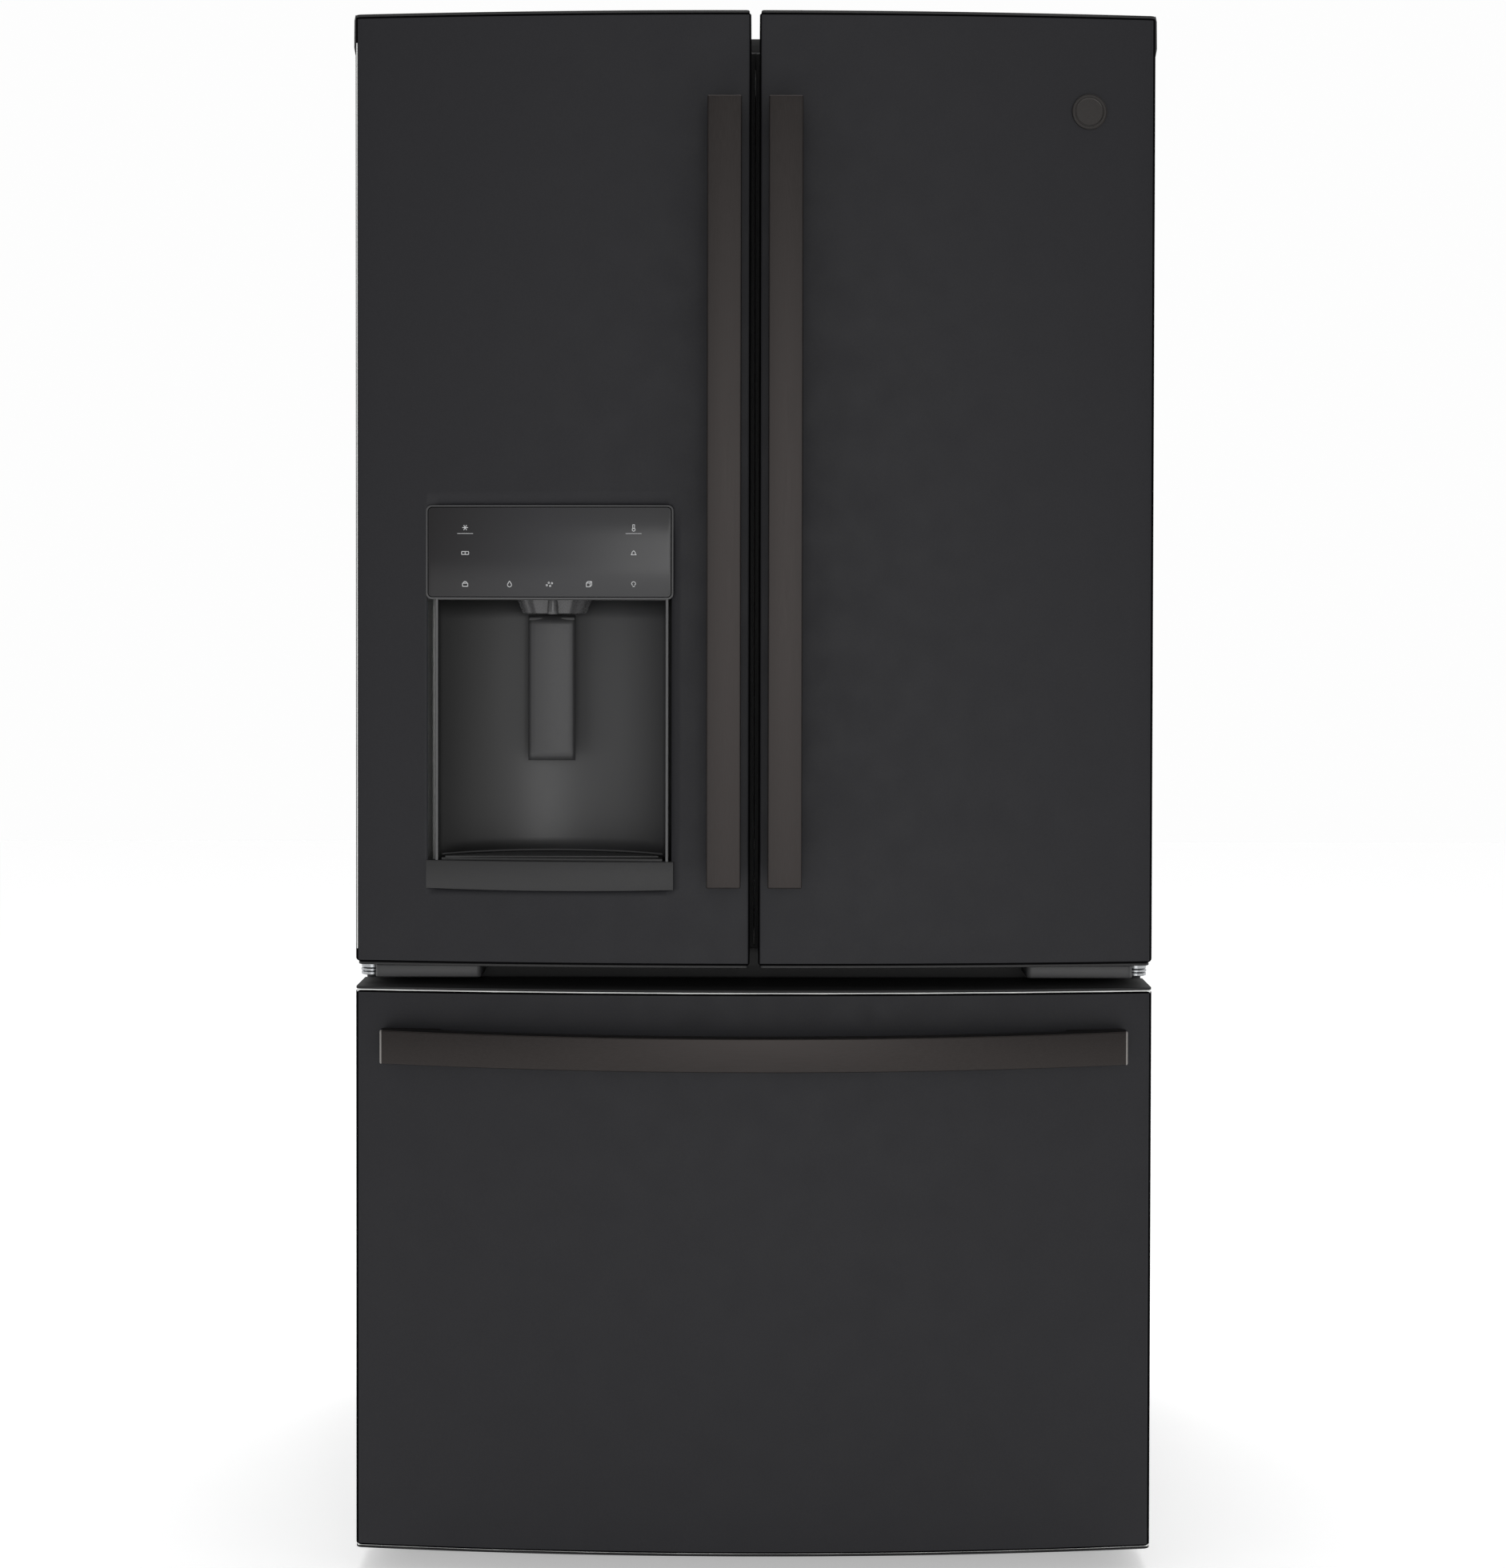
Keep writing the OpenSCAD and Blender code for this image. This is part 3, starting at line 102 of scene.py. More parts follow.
def surface(name, base, rough, metal=0.0, cell=1.0, detail=3.0, stretch=(1, 1, 1), broad=None,
            tones=None, gloss=None, proud=0.0, **sockets):
    # a pattern with cells of so many millimetres, longer along an axis where stretch is small, moves the
    # colour between two tones and the roughness between two values, and stands proud in millimetres;
    # broad is the cell of a second pattern that moves the roughness instead
    material = bpy.data.materials.new(name)
    material.use_nodes = True
    tree = material.node_tree
    shader = tree.nodes["Principled BSDF"]
    shader.inputs["Base Color"].default_value = linear(base)
    shader.inputs["Roughness"].default_value = rough
    shader.inputs["Metallic"].default_value = metal
    for key, value in sockets.items():
        shader.inputs[key.replace("_", " ")].default_value = value
    where = addNode(tree, "ShaderNodeTexCoord")
    patterns = []
    for size, octaves in ((cell, detail), (broad, 3.0)):
        if size:
            scale = addNode(tree, "ShaderNodeMapping", None, {"Vector": where.outputs["Object"]},
                            Scale=[s / (size * unit) for s in stretch])
            noise = addNode(tree, "ShaderNodeTexNoise", None, {"Vector": scale.outputs["Vector"]},
                            Scale=1.0, Detail=octaves)
            patterns.append(noise.outputs["Fac"])
    if tones:
        ramp = addNode(tree, "ShaderNodeValToRGB", None, {"Fac": patterns[0]})
        for element, spot, tone in zip(ramp.color_ramp.elements, noiseSpread, tones):
            element.position = spot
            element.color = linear(tone)
        tree.links.new(ramp.outputs["Color"], shader.inputs["Base Color"])
    if gloss:
        spread = addNode(tree, "ShaderNodeMapRange", None, {"Value": patterns[-1]},
                         From_Min=noiseSpread[0], From_Max=noiseSpread[1], To_Min=gloss[0], To_Max=gloss[1])
        tree.links.new(spread.outputs["Result"], shader.inputs["Roughness"])
    if proud:
        bump = addNode(tree, "ShaderNodeBump", None, {"Height": patterns[0]}, Strength=1.0,
                       Distance=proud * unit)
        tree.links.new(bump.outputs["Normal"], shader.inputs["Normal"])
    return material


def shadeAcross(material, left, right, stops):
    # painted light and shade: the colour runs through stops between two places along X
    tree = material.node_tree
    where = addNode(tree, "ShaderNodeTexCoord")
    split = addNode(tree, "ShaderNodeSeparateXYZ", None, {"Vector": where.outputs["Object"]})
    across = addNode(tree, "ShaderNodeMapRange", None, {"Value": split.outputs["X"]},
                     From_Min=left * unit, From_Max=right * unit)
    ramp = addNode(tree, "ShaderNodeValToRGB", None, {"Fac": across.outputs["Result"]})
    while len(ramp.color_ramp.elements) < len(stops):
        ramp.color_ramp.elements.new(0.5)
    for element, (spot, tone) in zip(ramp.color_ramp.elements, stops):
        element.position = spot
        element.color = linear(tone)
    tree.links.new(ramp.outputs["Color"], tree.nodes["Principled BSDF"].inputs["Base Color"])
    return material


def spangled(material, size, dark, light):
    # frost-like zinc crystals of this size, each darker at its middle
    tree = material.node_tree
    where = addNode(tree, "ShaderNodeTexCoord")
    cells = addNode(tree, "ShaderNodeTexVoronoi", None, {"Vector": where.outputs["Object"]},
                    Scale=1 / (size * unit))
    ramp = addNode(tree, "ShaderNodeValToRGB", None, {"Fac": cells.outputs["Distance"]})
    for element, tone in zip(ramp.color_ramp.elements, (dark, light)):
        element.color = linear(tone)
    tree.links.new(ramp.outputs["Color"], tree.nodes["Principled BSDF"].inputs["Base Color"])
    return material


def bronzeAluminium(along):
    # brushed and anodised aluminium in warm bronze: fine lines along the bar, soft streaked gloss
    return surface("brushedBronzeAluminium" + along, "#4d4947", 0.4, 1.0, cell=0.7, detail=4.0,
                   stretch=[0.01 if axis == along else 1.0 for axis in "XYZ"],
                   tones=("#343130", "#3a3736"), gloss=(0.36, 0.46), proud=0.006)


def mouldedPlastic(name, base, rough=0.5, cell=0.8):
    # injection moulded ABS: an even colour with a fine spark-eroded grain
    return surface(name, base, rough, cell=cell, gloss=(rough - 0.06, rough + 0.06), proud=0.012, IOR=1.53)


def paintedSteel(name, base, rough=0.45):
    # powder coated steel: even colour, fine orange peel
    return surface(name, base, rough, cell=1.2, detail=2.0, gloss=(rough - 0.05, rough + 0.07), proud=0.014,
                   IOR=1.5, Specular_IOR_Level=0.3)


finish = {
    # pre-coated slate steel: matte with a soft sheen and a faint mottle; the real flake is finer than this
    "slate": surface("slateCoatedSteel", "#242426", 0.5, cell=1.6, detail=4.0, broad=40.0, proud=0.006,
                     tones=("#222225", "#262629"), gloss=(0.46, 0.54), IOR=1.5, Specular_IOR_Level=0.22),
    "bronzeUp": bronzeAluminium("Z"),
    "bronzeAcross": bronzeAluminium("X"),
    # the same aluminium where it was cut, machined bare with fine saw lines; its pale colour is partly a
    # painted highlight where the cut end catches the light
    "bronzeEdgeHighlight": surface("machinedBronzeEdgeHighlight", "#8f8c89", 0.5, 1.0, cell=0.4, stretch=(1.0, 0.05, 1.0),
                          tones=("#827f7c", "#9a9794"), gloss=(0.45, 0.6)),
    "blackAbs": mouldedPlastic("blackAbs", "#0e0e0f"),
    # black edge paint on the fold of the skin: flat and without gloss
    # painted shade: flat black without gloss on the skin's rolled edges and upright corners, where the sheet
    # turns away into shade
    "edgeShadeBlack": surface("blackPaintedEdgeShade", "#0c0c0d", 0.8, proud=0.006, Specular_IOR_Level=0.0),
    "edgeSatin": mouldedPlastic("matteEdgeAbs", "#161617", 0.75),
    "caseGrey": paintedSteel("caseGreyEnamel", "#2a2a2c", 0.5),
    "railBlack": paintedSteel("railBlackEnamel", "#1a1a1b", 0.4),
    # satin ABS shell with painted light and shade: paler round its middle and darker towards both cheeks, as
    # light falls into the recess
    "wellPaintedShadeAbs": shadeAcross(surface("recessGreyAbsPaintedShade", "#38383a", 0.42, cell=1.2, gloss=(0.38, 0.48), proud=0.01,
                                   IOR=1.53), -362.0, -100.0,
                           ((0.0, "#202020"), (0.2, "#2b2b2b"), (0.55, "#404041"), (0.8, "#3a3a3b"),
                            (1.0, "#2a2a2b"))),
    "paddleAbs": mouldedPlastic("satinGreyAbs", "#333334", 0.45, 1.2),
    "lipAbs": mouldedPlastic("slateGreyAbs", "#1f1f20", 0.55),
    "trimGrey": mouldedPlastic("trimGreyAbs", "#4a4a4b", 0.35),
    # injection moulded polypropylene: black, waxier than ABS
    "trayBlack": mouldedPlastic("trayBlackPolypropylene", "#1b1b1c", 0.45),
    # tinted control glass: a smooth dark sheet, with painted light that makes it paler to the right
    "glassPanelPaintedLight": shadeAcross(surface("smokedControlGlassPaintedLight", "#3a3a3b", 0.2, cell=30.0, proud=0.01, IOR=1.5,
                                      Specular_IOR_Level=0.3), -375.0, -95.0,
                              ((0.0, "#252425"), (0.5, "#39393b"), (1.0, "#414142"))),
    # moulded polycarbonate: smoky and glossier than the shell round it
    "smoke": mouldedPlastic("smokedPolycarbonate", "#4b4b4c", 0.28, 2.0),
    # screen printed ink: pale, flat
    "mark": mouldedPlastic("printedMark", "#c9cacb"),
    "bracketGrey": mouldedPlastic("bracketGreyAbs", "#474748", 0.45),
    # vacuum formed polystyrene: bright, satin, with a slight orange peel
    "liner": surface("vacuumFormedPolystyrene", "#e9eae8", 0.32, cell=2.4, detail=2.0, gloss=(0.27, 0.38),
                     proud=0.02, IOR=1.59),
    # clear moulded bins: water clear with a cool edge and faint flow marks
    "clear": surface("clearPolystyrene", "#eef5f6", 0.08, cell=30.0, detail=2.0, stretch=(1, 1, 0.3),
                     gloss=(0.05, 0.14), proud=0.03, IOR=1.57, Transmission_Weight=0.85),
    # tempered soda-lime glass: clear with a green cast
    "shelfGlass": surface("temperedGlass", "#d6ebe3", 0.03, cell=60.0, gloss=(0.02, 0.05), IOR=1.52,
                          Transmission_Weight=0.9),
    # extruded soft PVC: dull grey with a dusty bloom
    "gasket": surface("gasketVinyl", "#8b8d8f", 0.7, cell=6.0, tones=("#828486", "#929496"), proud=0.02,
                      IOR=1.53),
    # zinc plated steel: bright, slightly spangled
    "zinc": surface("zincPlatedSteel", "#b9bbbd", 0.32, 1.0, cell=4.0, detail=4.0,
                    tones=("#a5a7a9", "#c4c6c8"), gloss=(0.26, 0.42)),
    # hot-dip galvanised sheet: dull with large frost-like spangles
    "sheet": spangled(surface("galvanisedSheet", "#8e9193", 0.45, 1.0, cell=5.0, proud=0.01), 9.0,
                      "#85888a", "#9a9da0"),
    "frameSteel": paintedSteel("chassisGreyEnamel", "#4a4c4e", 0.5),
    "compressor": paintedSteel("compressorBlackEnamel", "#17171a", 0.3),
    # poured polyurethane foam: pale yellow, full of small cells
    "foam": surface("polyurethaneFoam", "#d8c88e", 0.9, cell=1.5, detail=4.0, tones=("#cdbb7c", "#e2d49e"),
                    proud=0.2),
    # drawn copper pipe: warm metal with brown tarnish patches
    "copper": surface("drawnCopper", "#b87040", 0.3, 1.0, cell=14.0, detail=4.0,
                      tones=("#9a5a33", "#c47f50"), gloss=(0.22, 0.45)),
    # rolled aluminium fins: pale, soft, slightly streaked
    "fins": surface("rolledAluminium", "#c4c8cb", 0.36, 1.0, cell=3.0, stretch=(1, 1, 0.1),
                    tones=("#b7bbbe", "#ccd0d3"), gloss=(0.28, 0.46)),
    # steel wire dipped in white polyethylene: thick, soft, slightly waxy
    "wire": surface("whiteCoatedWire", "#e4e6e6", 0.38, cell=3.0, gloss=(0.3, 0.46), proud=0.03, IOR=1.5),
    "white": mouldedPlastic("whiteAbs", "#e8e9e7", 0.42),
    # moulded nylon: dark grey, dull, hard wearing
    "nylon": mouldedPlastic("greyNylon", "#3b3c3e"),
    # opal acrylic over a row of lamps: milky white with its own light
    "led": surface("opalDiffuser", "#f6f8fa", 0.4, cell=2.0, gloss=(0.35, 0.45),
                   Emission_Color=linear("#f4f8ff"), Emission_Strength=0.6),
    # black nickel plate: dark mirror-like metal with fine polishing marks
    "badge": surface("blackNickelPlate", "#454342", 0.34, 1.0, cell=0.5, detail=4.0,
                     tones=("#403e3d", "#4b4948"), gloss=(0.3, 0.42)),
}
print("surfaces ready:", len(finish))


# a shape is its corners and its faces

def join(shapes):
    corners, faces = [], []
    for shapeCorners, shapeFaces in shapes:
        start = len(corners)
        corners += shapeCorners
        faces += [[start + i for i in face] for face in shapeFaces]
    return corners, faces


def loft(rings, close=True, caps=True):
    # skins a list of equal rings of points
    count = len(rings[0])
    corners = [tuple(p) for ring in rings for p in ring]
    faces = []
    for i in range(len(rings) - 1):
        for j in range(count if close else count - 1):
            k = (j + 1) % count
            faces.append([i * count + j, i * count + k, (i + 1) * count + k, (i + 1) * count + j])
    if caps and close:
        faces.append(list(range(count))[::-1])
        faces.append([(len(rings) - 1) * count + j for j in range(count)])
    return corners, faces


def arc(cx, cy, radius, start=0, end=360, steps=16):
    turn = [math.radians(start + (end - start) * i / steps) for i in range(steps + 1)]
    return [(cx + radius * math.cos(a), cy + radius * math.sin(a)) for a in turn]


def roundRect(x0, x1, y0, y1, radius, steps=5):
    r = min(radius, (x1 - x0) / 2, (y1 - y0) / 2)
    return (arc(x1 - r, y1 - r, r, 0, 90, steps) + arc(x0 + r, y1 - r, r, 90, 180, steps)
            + arc(x0 + r, y0 + r, r, 180, 270, steps) + arc(x1 - r, y0 + r, r, 270, 360, steps))


def shrink(outline, inset):
    # moves a counter-clockwise outline inward
    count = len(outline)
    tiny, sharpest = 1e-6, 0.35
    moved = []
    for i, p in enumerate(outline):
        a, b = outline[i - 1], outline[(i + 1) % count]
        u = Vector((p[0] - a[0], p[1] - a[1]))
        v = Vector((b[0] - p[0], b[1] - p[1]))
        u = u.normalized() if u.length > tiny else v.normalized()
        v = v.normalized() if v.length > tiny else u
        n = Vector((-u.y - v.y, u.x + v.x))
        n = n.normalized() if n.length > tiny else Vector((-u.y, u.x))
        bend = max(sharpest, n.dot(Vector((-u.y, u.x))))
        moved.append((p[0] + n.x * inset / bend, p[1] + n.y * inset / bend))
    return moved


def place(point, level, axis):
    # a flat point and its level along the axis, as a point in space
    u, v = point
    return {"z": (u, v, level), "y": (u, level, v), "x": (level, u, v)}[axis]


def prism(outline, low, high, edge=0.0, axis="z", steps=3):
    # an outline pushed along an axis, its two ends rounded by edge
    levels = [(low, 0.0), (high, 0.0)]
    if edge:
        turns = [math.pi / 2 * i / steps for i in range(steps + 1)]
        lower = [(low + edge * (1 - math.cos(a)), edge * (1 - math.sin(a))) for a in turns]
        levels = lower + [(low + high - level, inset) for level, inset in lower[::-1]]
    return loft([[place(p, level, axis) for p in shrink(outline, inset)] for level, inset in levels])


def roundBox(x, y, z, radius, edge, axis="z"):
    flat = {"z": (x, y, z), "y": (x, z, y), "x": (y, z, x)}[axis]
    return prism(roundRect(*flat[0], *flat[1], radius, 4), *flat[2], edge, axis)


def lathe(profile, centre, axis="z", sides=40):
    # spins (radius, level) pairs round an axis through centre
    rings = []
    for radius, level in profile:
        ring = []
        for i in range(sides):
            a = 2 * math.pi * i / sides
            p = place((radius * math.cos(a), radius * math.sin(a)), level, axis)
            ring.append(tuple(c + d for c, d in zip(p, centre)))
        rings.append(ring)
    return loft(rings)


def tube(points, diameter, sides):
    # a round rod along points
    path = [Vector(p) for p in points]
    rings = []
    lastSide = None
    for i, p in enumerate(path):
        before = path[max(i - 1, 0)]
        after = path[min(i + 1, len(path) - 1)]
        along = (after - before).normalized()
        if lastSide is None:
            lastSide = along.cross(Vector((0, 0, 1))).normalized()
        side = (lastSide - along * lastSide.dot(along)).normalized()
        up = along.cross(side)
        lastSide = side
        turns = [2 * math.pi * k / sides for k in range(sides)]
        rings.append([tuple(p + (side * math.cos(a) + up * math.sin(a)) * diameter / 2) for a in turns])
    return loft(rings)


def sided(side, a, b):
    # a span on the left (-1) or right (1), in rising order
    return sorted((side * a, side * b))


def standPiece(name, mesh, look, body, smooth):
    mesh.materials.append(finish[look])
    mesh.shade_smooth()
    mesh.set_sharp_from_angle(angle=math.radians(smooth))
    piece = bpy.data.objects.new(name, mesh)
    bpy.context.scene.collection.objects.link(piece)
    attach(piece, body)
    return piece


def makePiece(name, shape, look, body, replaced=(), smooth=32.0):
    # one mesh object, riding a body
    corners, faces = shape
    mesh = bpy.data.meshes.new(name)
    mesh.from_pydata([(x * unit, y * unit, z * unit) for x, y, z in corners], [], faces)
    mesh.update()
    piece = standPiece(name, mesh, look, body, smooth)
    if replaced:
        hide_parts(*replaced)
    return piece


def thicken(piece, name, thickness, offset=-1):
    solid = piece.modifiers.new(name, "SOLIDIFY")
    solid.thickness = thickness * unit
    solid.offset = offset


def frontPath(x0, x1, radii, stops=()):
    # the plan of a folded skin: rear fold, side, round corner, bowed front, and back again
    leftX, rightX = x0 + radii[0], x1 - radii[1]
    leftY, rightY = frontY(leftX, radii[0]), frontY(rightX, radii[1])
    leftTurn = math.degrees(math.atan2(leftY - bowCentre, leftX)) % 360
    rightTurn = math.degrees(math.atan2(rightY - bowCentre, rightX)) % 360
    leftArc = arc(leftX, leftY, radii[0], 180, leftTurn, 6)
    rightArc = arc(rightX, rightY, radii[1], rightTurn, 360, 6)
    first, last = leftArc[-1][0], rightArc[0][0]
    columns = max(8, int((x1 - x0) / front["column"]))
    spots = [first + (last - first) * i / columns for i in range(1, columns)]
    spots = sorted([s for s in spots if all(abs(s - stop) > 3 for stop in stops)] + list(stops))
    bowed = [(x, frontY(x)) for x in spots]
    fold = front["fold"]
    return [(x0 + fold, rear), (x0, rear)] + leftArc + bowed + rightArc + [(x1, rear), (x1 - fold, rear)]


def roundingInset(fromEnd, radius):
    # how far a rounded end or corner is drawn in, this far from its end
    if fromEnd >= radius:
        return 0.0
    return radius - math.sqrt(max(0.0, radius ** 2 - (radius - fromEnd) ** 2))


def foldedSkin(name, body, x0, x1, z0, z1, radii, replaced, window=None, pocket=None, ends=None):
    # thin sheet over the front and sides, its upper and lower edges curled in;
    # ends gives the corner radii: lower left, lower right, upper left, upper right
    path = frontPath(x0, x1, radii, window[:2] if window else ())
    flat = (0, 1, len(path) - 2, len(path) - 1)  # the rear folds stay in their plane
    curl = front["curl"]
    turns = [math.pi / 2 * i / 4 for i in range(5)]
    lower = [(z0 + curl * (1 - math.cos(a)), curl * (1 - math.sin(a))) for a in turns]
    upper = [(z0 + z1 - z, inset) for z, inset in lower[::-1]]
    rows = 14
    middle = sorted({z0 + (z1 - z0) * i / rows for i in range(1, rows)} | set(window[2:] if window else ()))
    near = [z for step in (3.2, 4.2, 5.2) for z in (z0 + step, z1 - step)] if ends else []
    ends = ends or (noCorner,) * 4
    rings = []
    for z, inset in lower + [(z, 0.0) for z in sorted(middle + near)] + upper:
        left = max(roundingInset(z - z0, ends[0]), roundingInset(z1 - z, ends[2]))
        right = max(roundingInset(z - z0, ends[1]), roundingInset(z1 - z, ends[3]))
        ring = []
        for i, (x, y) in enumerate(shrink(path, inset)):
            if x < x0 + radii[0]:
                x = x0 + left + (x - x0) * (radii[0] - left) / radii[0]
            elif x > x1 - radii[1]:
                x = x1 - right - (x1 - x) * (radii[1] - right) / radii[1]
            ring.append((x, rear if i in flat else y, z))
        rings.append(ring)
    corners, faces = loft(rings, close=False, caps=False)

    def stays(face):
        x, y, z = [sum(corners[i][k] for i in face) / len(face) for k in range(3)]
        if window and window[0] < x < window[1] and window[2] < z < window[3] and y < rear - 30:
            return False
        return not (pocket and abs(x) > pocket[0] and y > pocket[1] and z > pocket[2])

    shape = (corners, [face for face in faces if stays(face)])
    piece = makePiece(name, shape, "slate", body, replaced, 40)
    piece.data.materials.append(finish["edgeShadeBlack"])
    # painted shade: the rolled edges and the outer share of each upright corner take the flat black finish
    for polygon in piece.data.polygons:
        x, z = polygon.center.x / unit, polygon.center.z / unit
        rolled = z > z1 - curl or z < z0 + curl
        if x < x0 + radii[0] * front["edge"] or x > x1 - radii[1] * front["edge"] or rolled:
            polygon.material_index = 1
    thicken(piece, "sheet", front["skin"])


hingePocket = {
    "side": 15.0,  # from the hinge axis to the pocket's inner wall
    "reach": 25.5,  # from the hinge axis to its front wall
    "lip": 3.0,  # the caps stand out of the skin by this much
    "swell": 45.0,  # height of the bulged outer corner
    "armBelow": 6.0,  # the hinge arm lies this far under the highest point of the hinges
}
armZ = boxOf("hinges")[1][2] - hingePocket["armBelow"]
leftSkinLow, leftSkinHigh = boxOf("left_door_skin")
hinge = [j for j in frame["joints"] if j["name"] == "right_door_hinge"][0]
axisX, axisY = hinge["pos_m"][0] / unit, hinge["pos_m"][1] / unit
doorBottom, doorTop = leftSkinLow[2], leftSkinHigh[2]
wellLow, wellHigh = boxOf("dispenser_well")
window = (wellLow[0] + 2, wellHigh[0] - 2, wellLow[2] + 2, wellHigh[2] - 2)
pocketX, pocketY = axisX - hingePocket["side"], axisY - hingePocket["reach"]
leftSpan, leftRadii = (-doorHalf, leftSkinHigh[0]), (front["outerRadius"], front["innerRadius"])
rightSpan, rightRadii = (-leftSkinHigh[0], doorHalf), leftRadii[::-1]
drawerRadii = (front["outerRadius"], front["outerRadius"])
fullCorner, halfCorner, noCorner = front["corner"], front["corner"] / 2, 0.1

foldedSkin("leftDoorSkin", "left_door", *leftSpan, doorBottom, doorTop, leftRadii, ["left_door_skin"],
           window, (pocketX, pocketY, armZ - 2), (fullCorner, halfCorner, noCorner, halfCorner))
foldedSkin("rightDoorSkin", "right_door", *rightSpan, doorBottom, doorTop, rightRadii, ["right_door_skin"],
           None, (pocketX, pocketY, armZ - 2), (halfCorner, fullCorner, halfCorner, noCorner))
foldedSkin("drawerSkin", "freezer_drawer", -doorHalf, doorHalf, skinLow[2] + 3, skinHigh[2] - 4,
           drawerRadii, ["drawer_skin"])


def capOutline(x0, x1, radii, inset, side=0):
    # the door's plan as one closed outline; side cuts the hinge pocket from that rear corner
    back = rear - 0.4
    path = [(x, min(y, back)) for x, y in frontPath(x0, x1, radii)[1:-1]]
    if side > 0:
        path = [p for p in path[:-1] if not (p[0] > pocketX and p[1] > pocketY)]
        path += [(x1, pocketY), (pocketX, pocketY), (pocketX, back)]
    elif side < 0:
        path = [p for p in path[1:] if not (p[0] < -pocketX and p[1] > pocketY)]
        path = [(-pocketX, back), (-pocketX, pocketY), (x0, pocketY)] + path
    return shrink(path, inset)


def doorCaps(name, body, x0, x1, radii, side):
    # black end caps, the upper one with a pocket and a bulged corner over the hinge
    narrow, wide = front["corner"] * 0.3, front["corner"] * 0.6
    below = (wide, narrow)[::-side]
    above = (0, narrow)[::-side]
    lip = hingePocket["lip"]
    low, high = doorBottom - lip, doorTop + lip
    parts = [prism(capOutline(x0 + below[0], x1 - below[1], radii, 0.3), low, low + lip + 0.4, 1.2),
             prism(capOutline(x0 + above[0], x1 - above[1], radii, 0.3, side), high - lip - 0.4, high, 1.4),
             prism(capOutline(x0, x1, radii, 3.0, side), armZ - 6, high - 2),
             prism(capOutline(x0, x1, radii, 3.0), armZ - 22, armZ - 2)]
    outer, edge = side * doorHalf, side * halfWidth
    foot, top = high - hingePocket["swell"], armZ - 2.5

    def bulge(upper, depths):
        # a share of the full swell at each level, over four places along the depth
        rings = []
        for z, share in ((foot, 0.0), (foot + 7, 0.85), (foot + 9, 1.0)) + upper:
            x = outer + (edge - outer) * share
            ring = [(outer - side, depths[0], z), (x, depths[1], z)]
            ring += [(x, depths[2], z), (outer - side, depths[3], z)]
            rings.append(ring[::side])
        parts.append(loft(rings))

    bulge(((high - 6, 0.8), (high - 1.5, 0.25), (high, 0.0)), (pocketY - 20, pocketY - 18, pocketY, pocketY))
    bulge(((top - 1, 1.0), (top, 0.6)), (pocketY, pocketY, rear - 6, rear - 4))
    makePiece(name, join(parts), "blackAbs", body, [name.replace("DoorCaps", "_door_caps")])


doorCaps("leftDoorCaps", "left_door", *leftSpan, leftRadii, -1)
doorCaps("rightDoorCaps", "right_door", *rightSpan, rightRadii, 1)
drawerOutline = capOutline(-doorHalf, doorHalf, drawerRadii, 0.3)
drawerInner = capOutline(-doorHalf, doorHalf, drawerRadii, 2.4)
makePiece("drawerEdges", join([prism(drawerOutline, skinLow[2], skinLow[2] + 2.4, 0.9),
                               prism(drawerInner, skinLow[2] + 1, skinLow[2] + 8),
                               prism(drawerInner, skinHigh[2] - 9, skinHigh[2] - 1),
                               prism(drawerOutline, skinHigh[2] - 2.8, skinHigh[2], 0.5)]),
          "edgeSatin", "freezer_drawer", ())
print("fronts folded")


def bowedBar(half, bow, section, spots, end):
    # places along a bowed bar, how far the bow has fallen back there, and its section with rounded ends
    radius = (half ** 2 + bow ** 2) / (2 * bow)
    return [(s, radius - math.sqrt(radius ** 2 - s * s), shrink(section, roundingInset(half - abs(s), end)))
            for s in spots]


def stations(half, rows, nearEnds):
    return sorted([half * i / rows for i in range(-rows, rows + 1)]
                  + [sign * (half - step) for sign in (-1, 1) for step in nearEnds])


upright = {"bow": 12.0, "depth": 20.0, "corner": 1.6, "end": 1.6, "rows": 48, "postWidth": 26.0,
           "postHeight": 34.0, "postInset": 26.0, "postCorner": 8.0}


def uprightHandle(node, name, body):
    low, high = boxOf(node)
    half = (high[2] - low[2]) / 2
    middle, centre = (low[0] + high[0]) / 2, (low[2] + high[2]) / 2
    width = high[0] - low[0]
    section = roundRect(-width / 2, width / 2, 0, upright["depth"], upright["corner"])
    spots = stations(half, upright["rows"], (0.3, 1.2))
    rings = []
    for z, back, ring in bowedBar(half, upright["bow"], section, spots, upright["end"]):
        rings.append([(middle + p[0], low[1] + back + p[1], centre + z) for p in ring])
    parts = [loft(rings)]
    across, tall = upright["postWidth"] / 2, upright["postHeight"] / 2
    for z in (low[2] + upright["postInset"], high[2] - upright["postInset"]):
        post = roundRect(middle - across, middle + across, z - tall, z + tall, upright["postCorner"])
        parts.append(prism(post, low[1] + upright["bow"] + 8, frontY(middle) + 1.5, 0, "y"))
    makePiece(name, join(parts), "bronzeUp", body, [node])


uprightHandle("left_handle", "leftHandle", "left_door")
uprightHandle("right_handle", "rightHandle", "right_door")

crossBar = {"bow": 58.0, "depth": 20.0, "corner": 1.8, "end": 1.6, "rows": 60, "mount": 68.0, "inset": 1.5,
            "shine": 2.6}  # shine: the cut end, painted pale, partly as a highlight
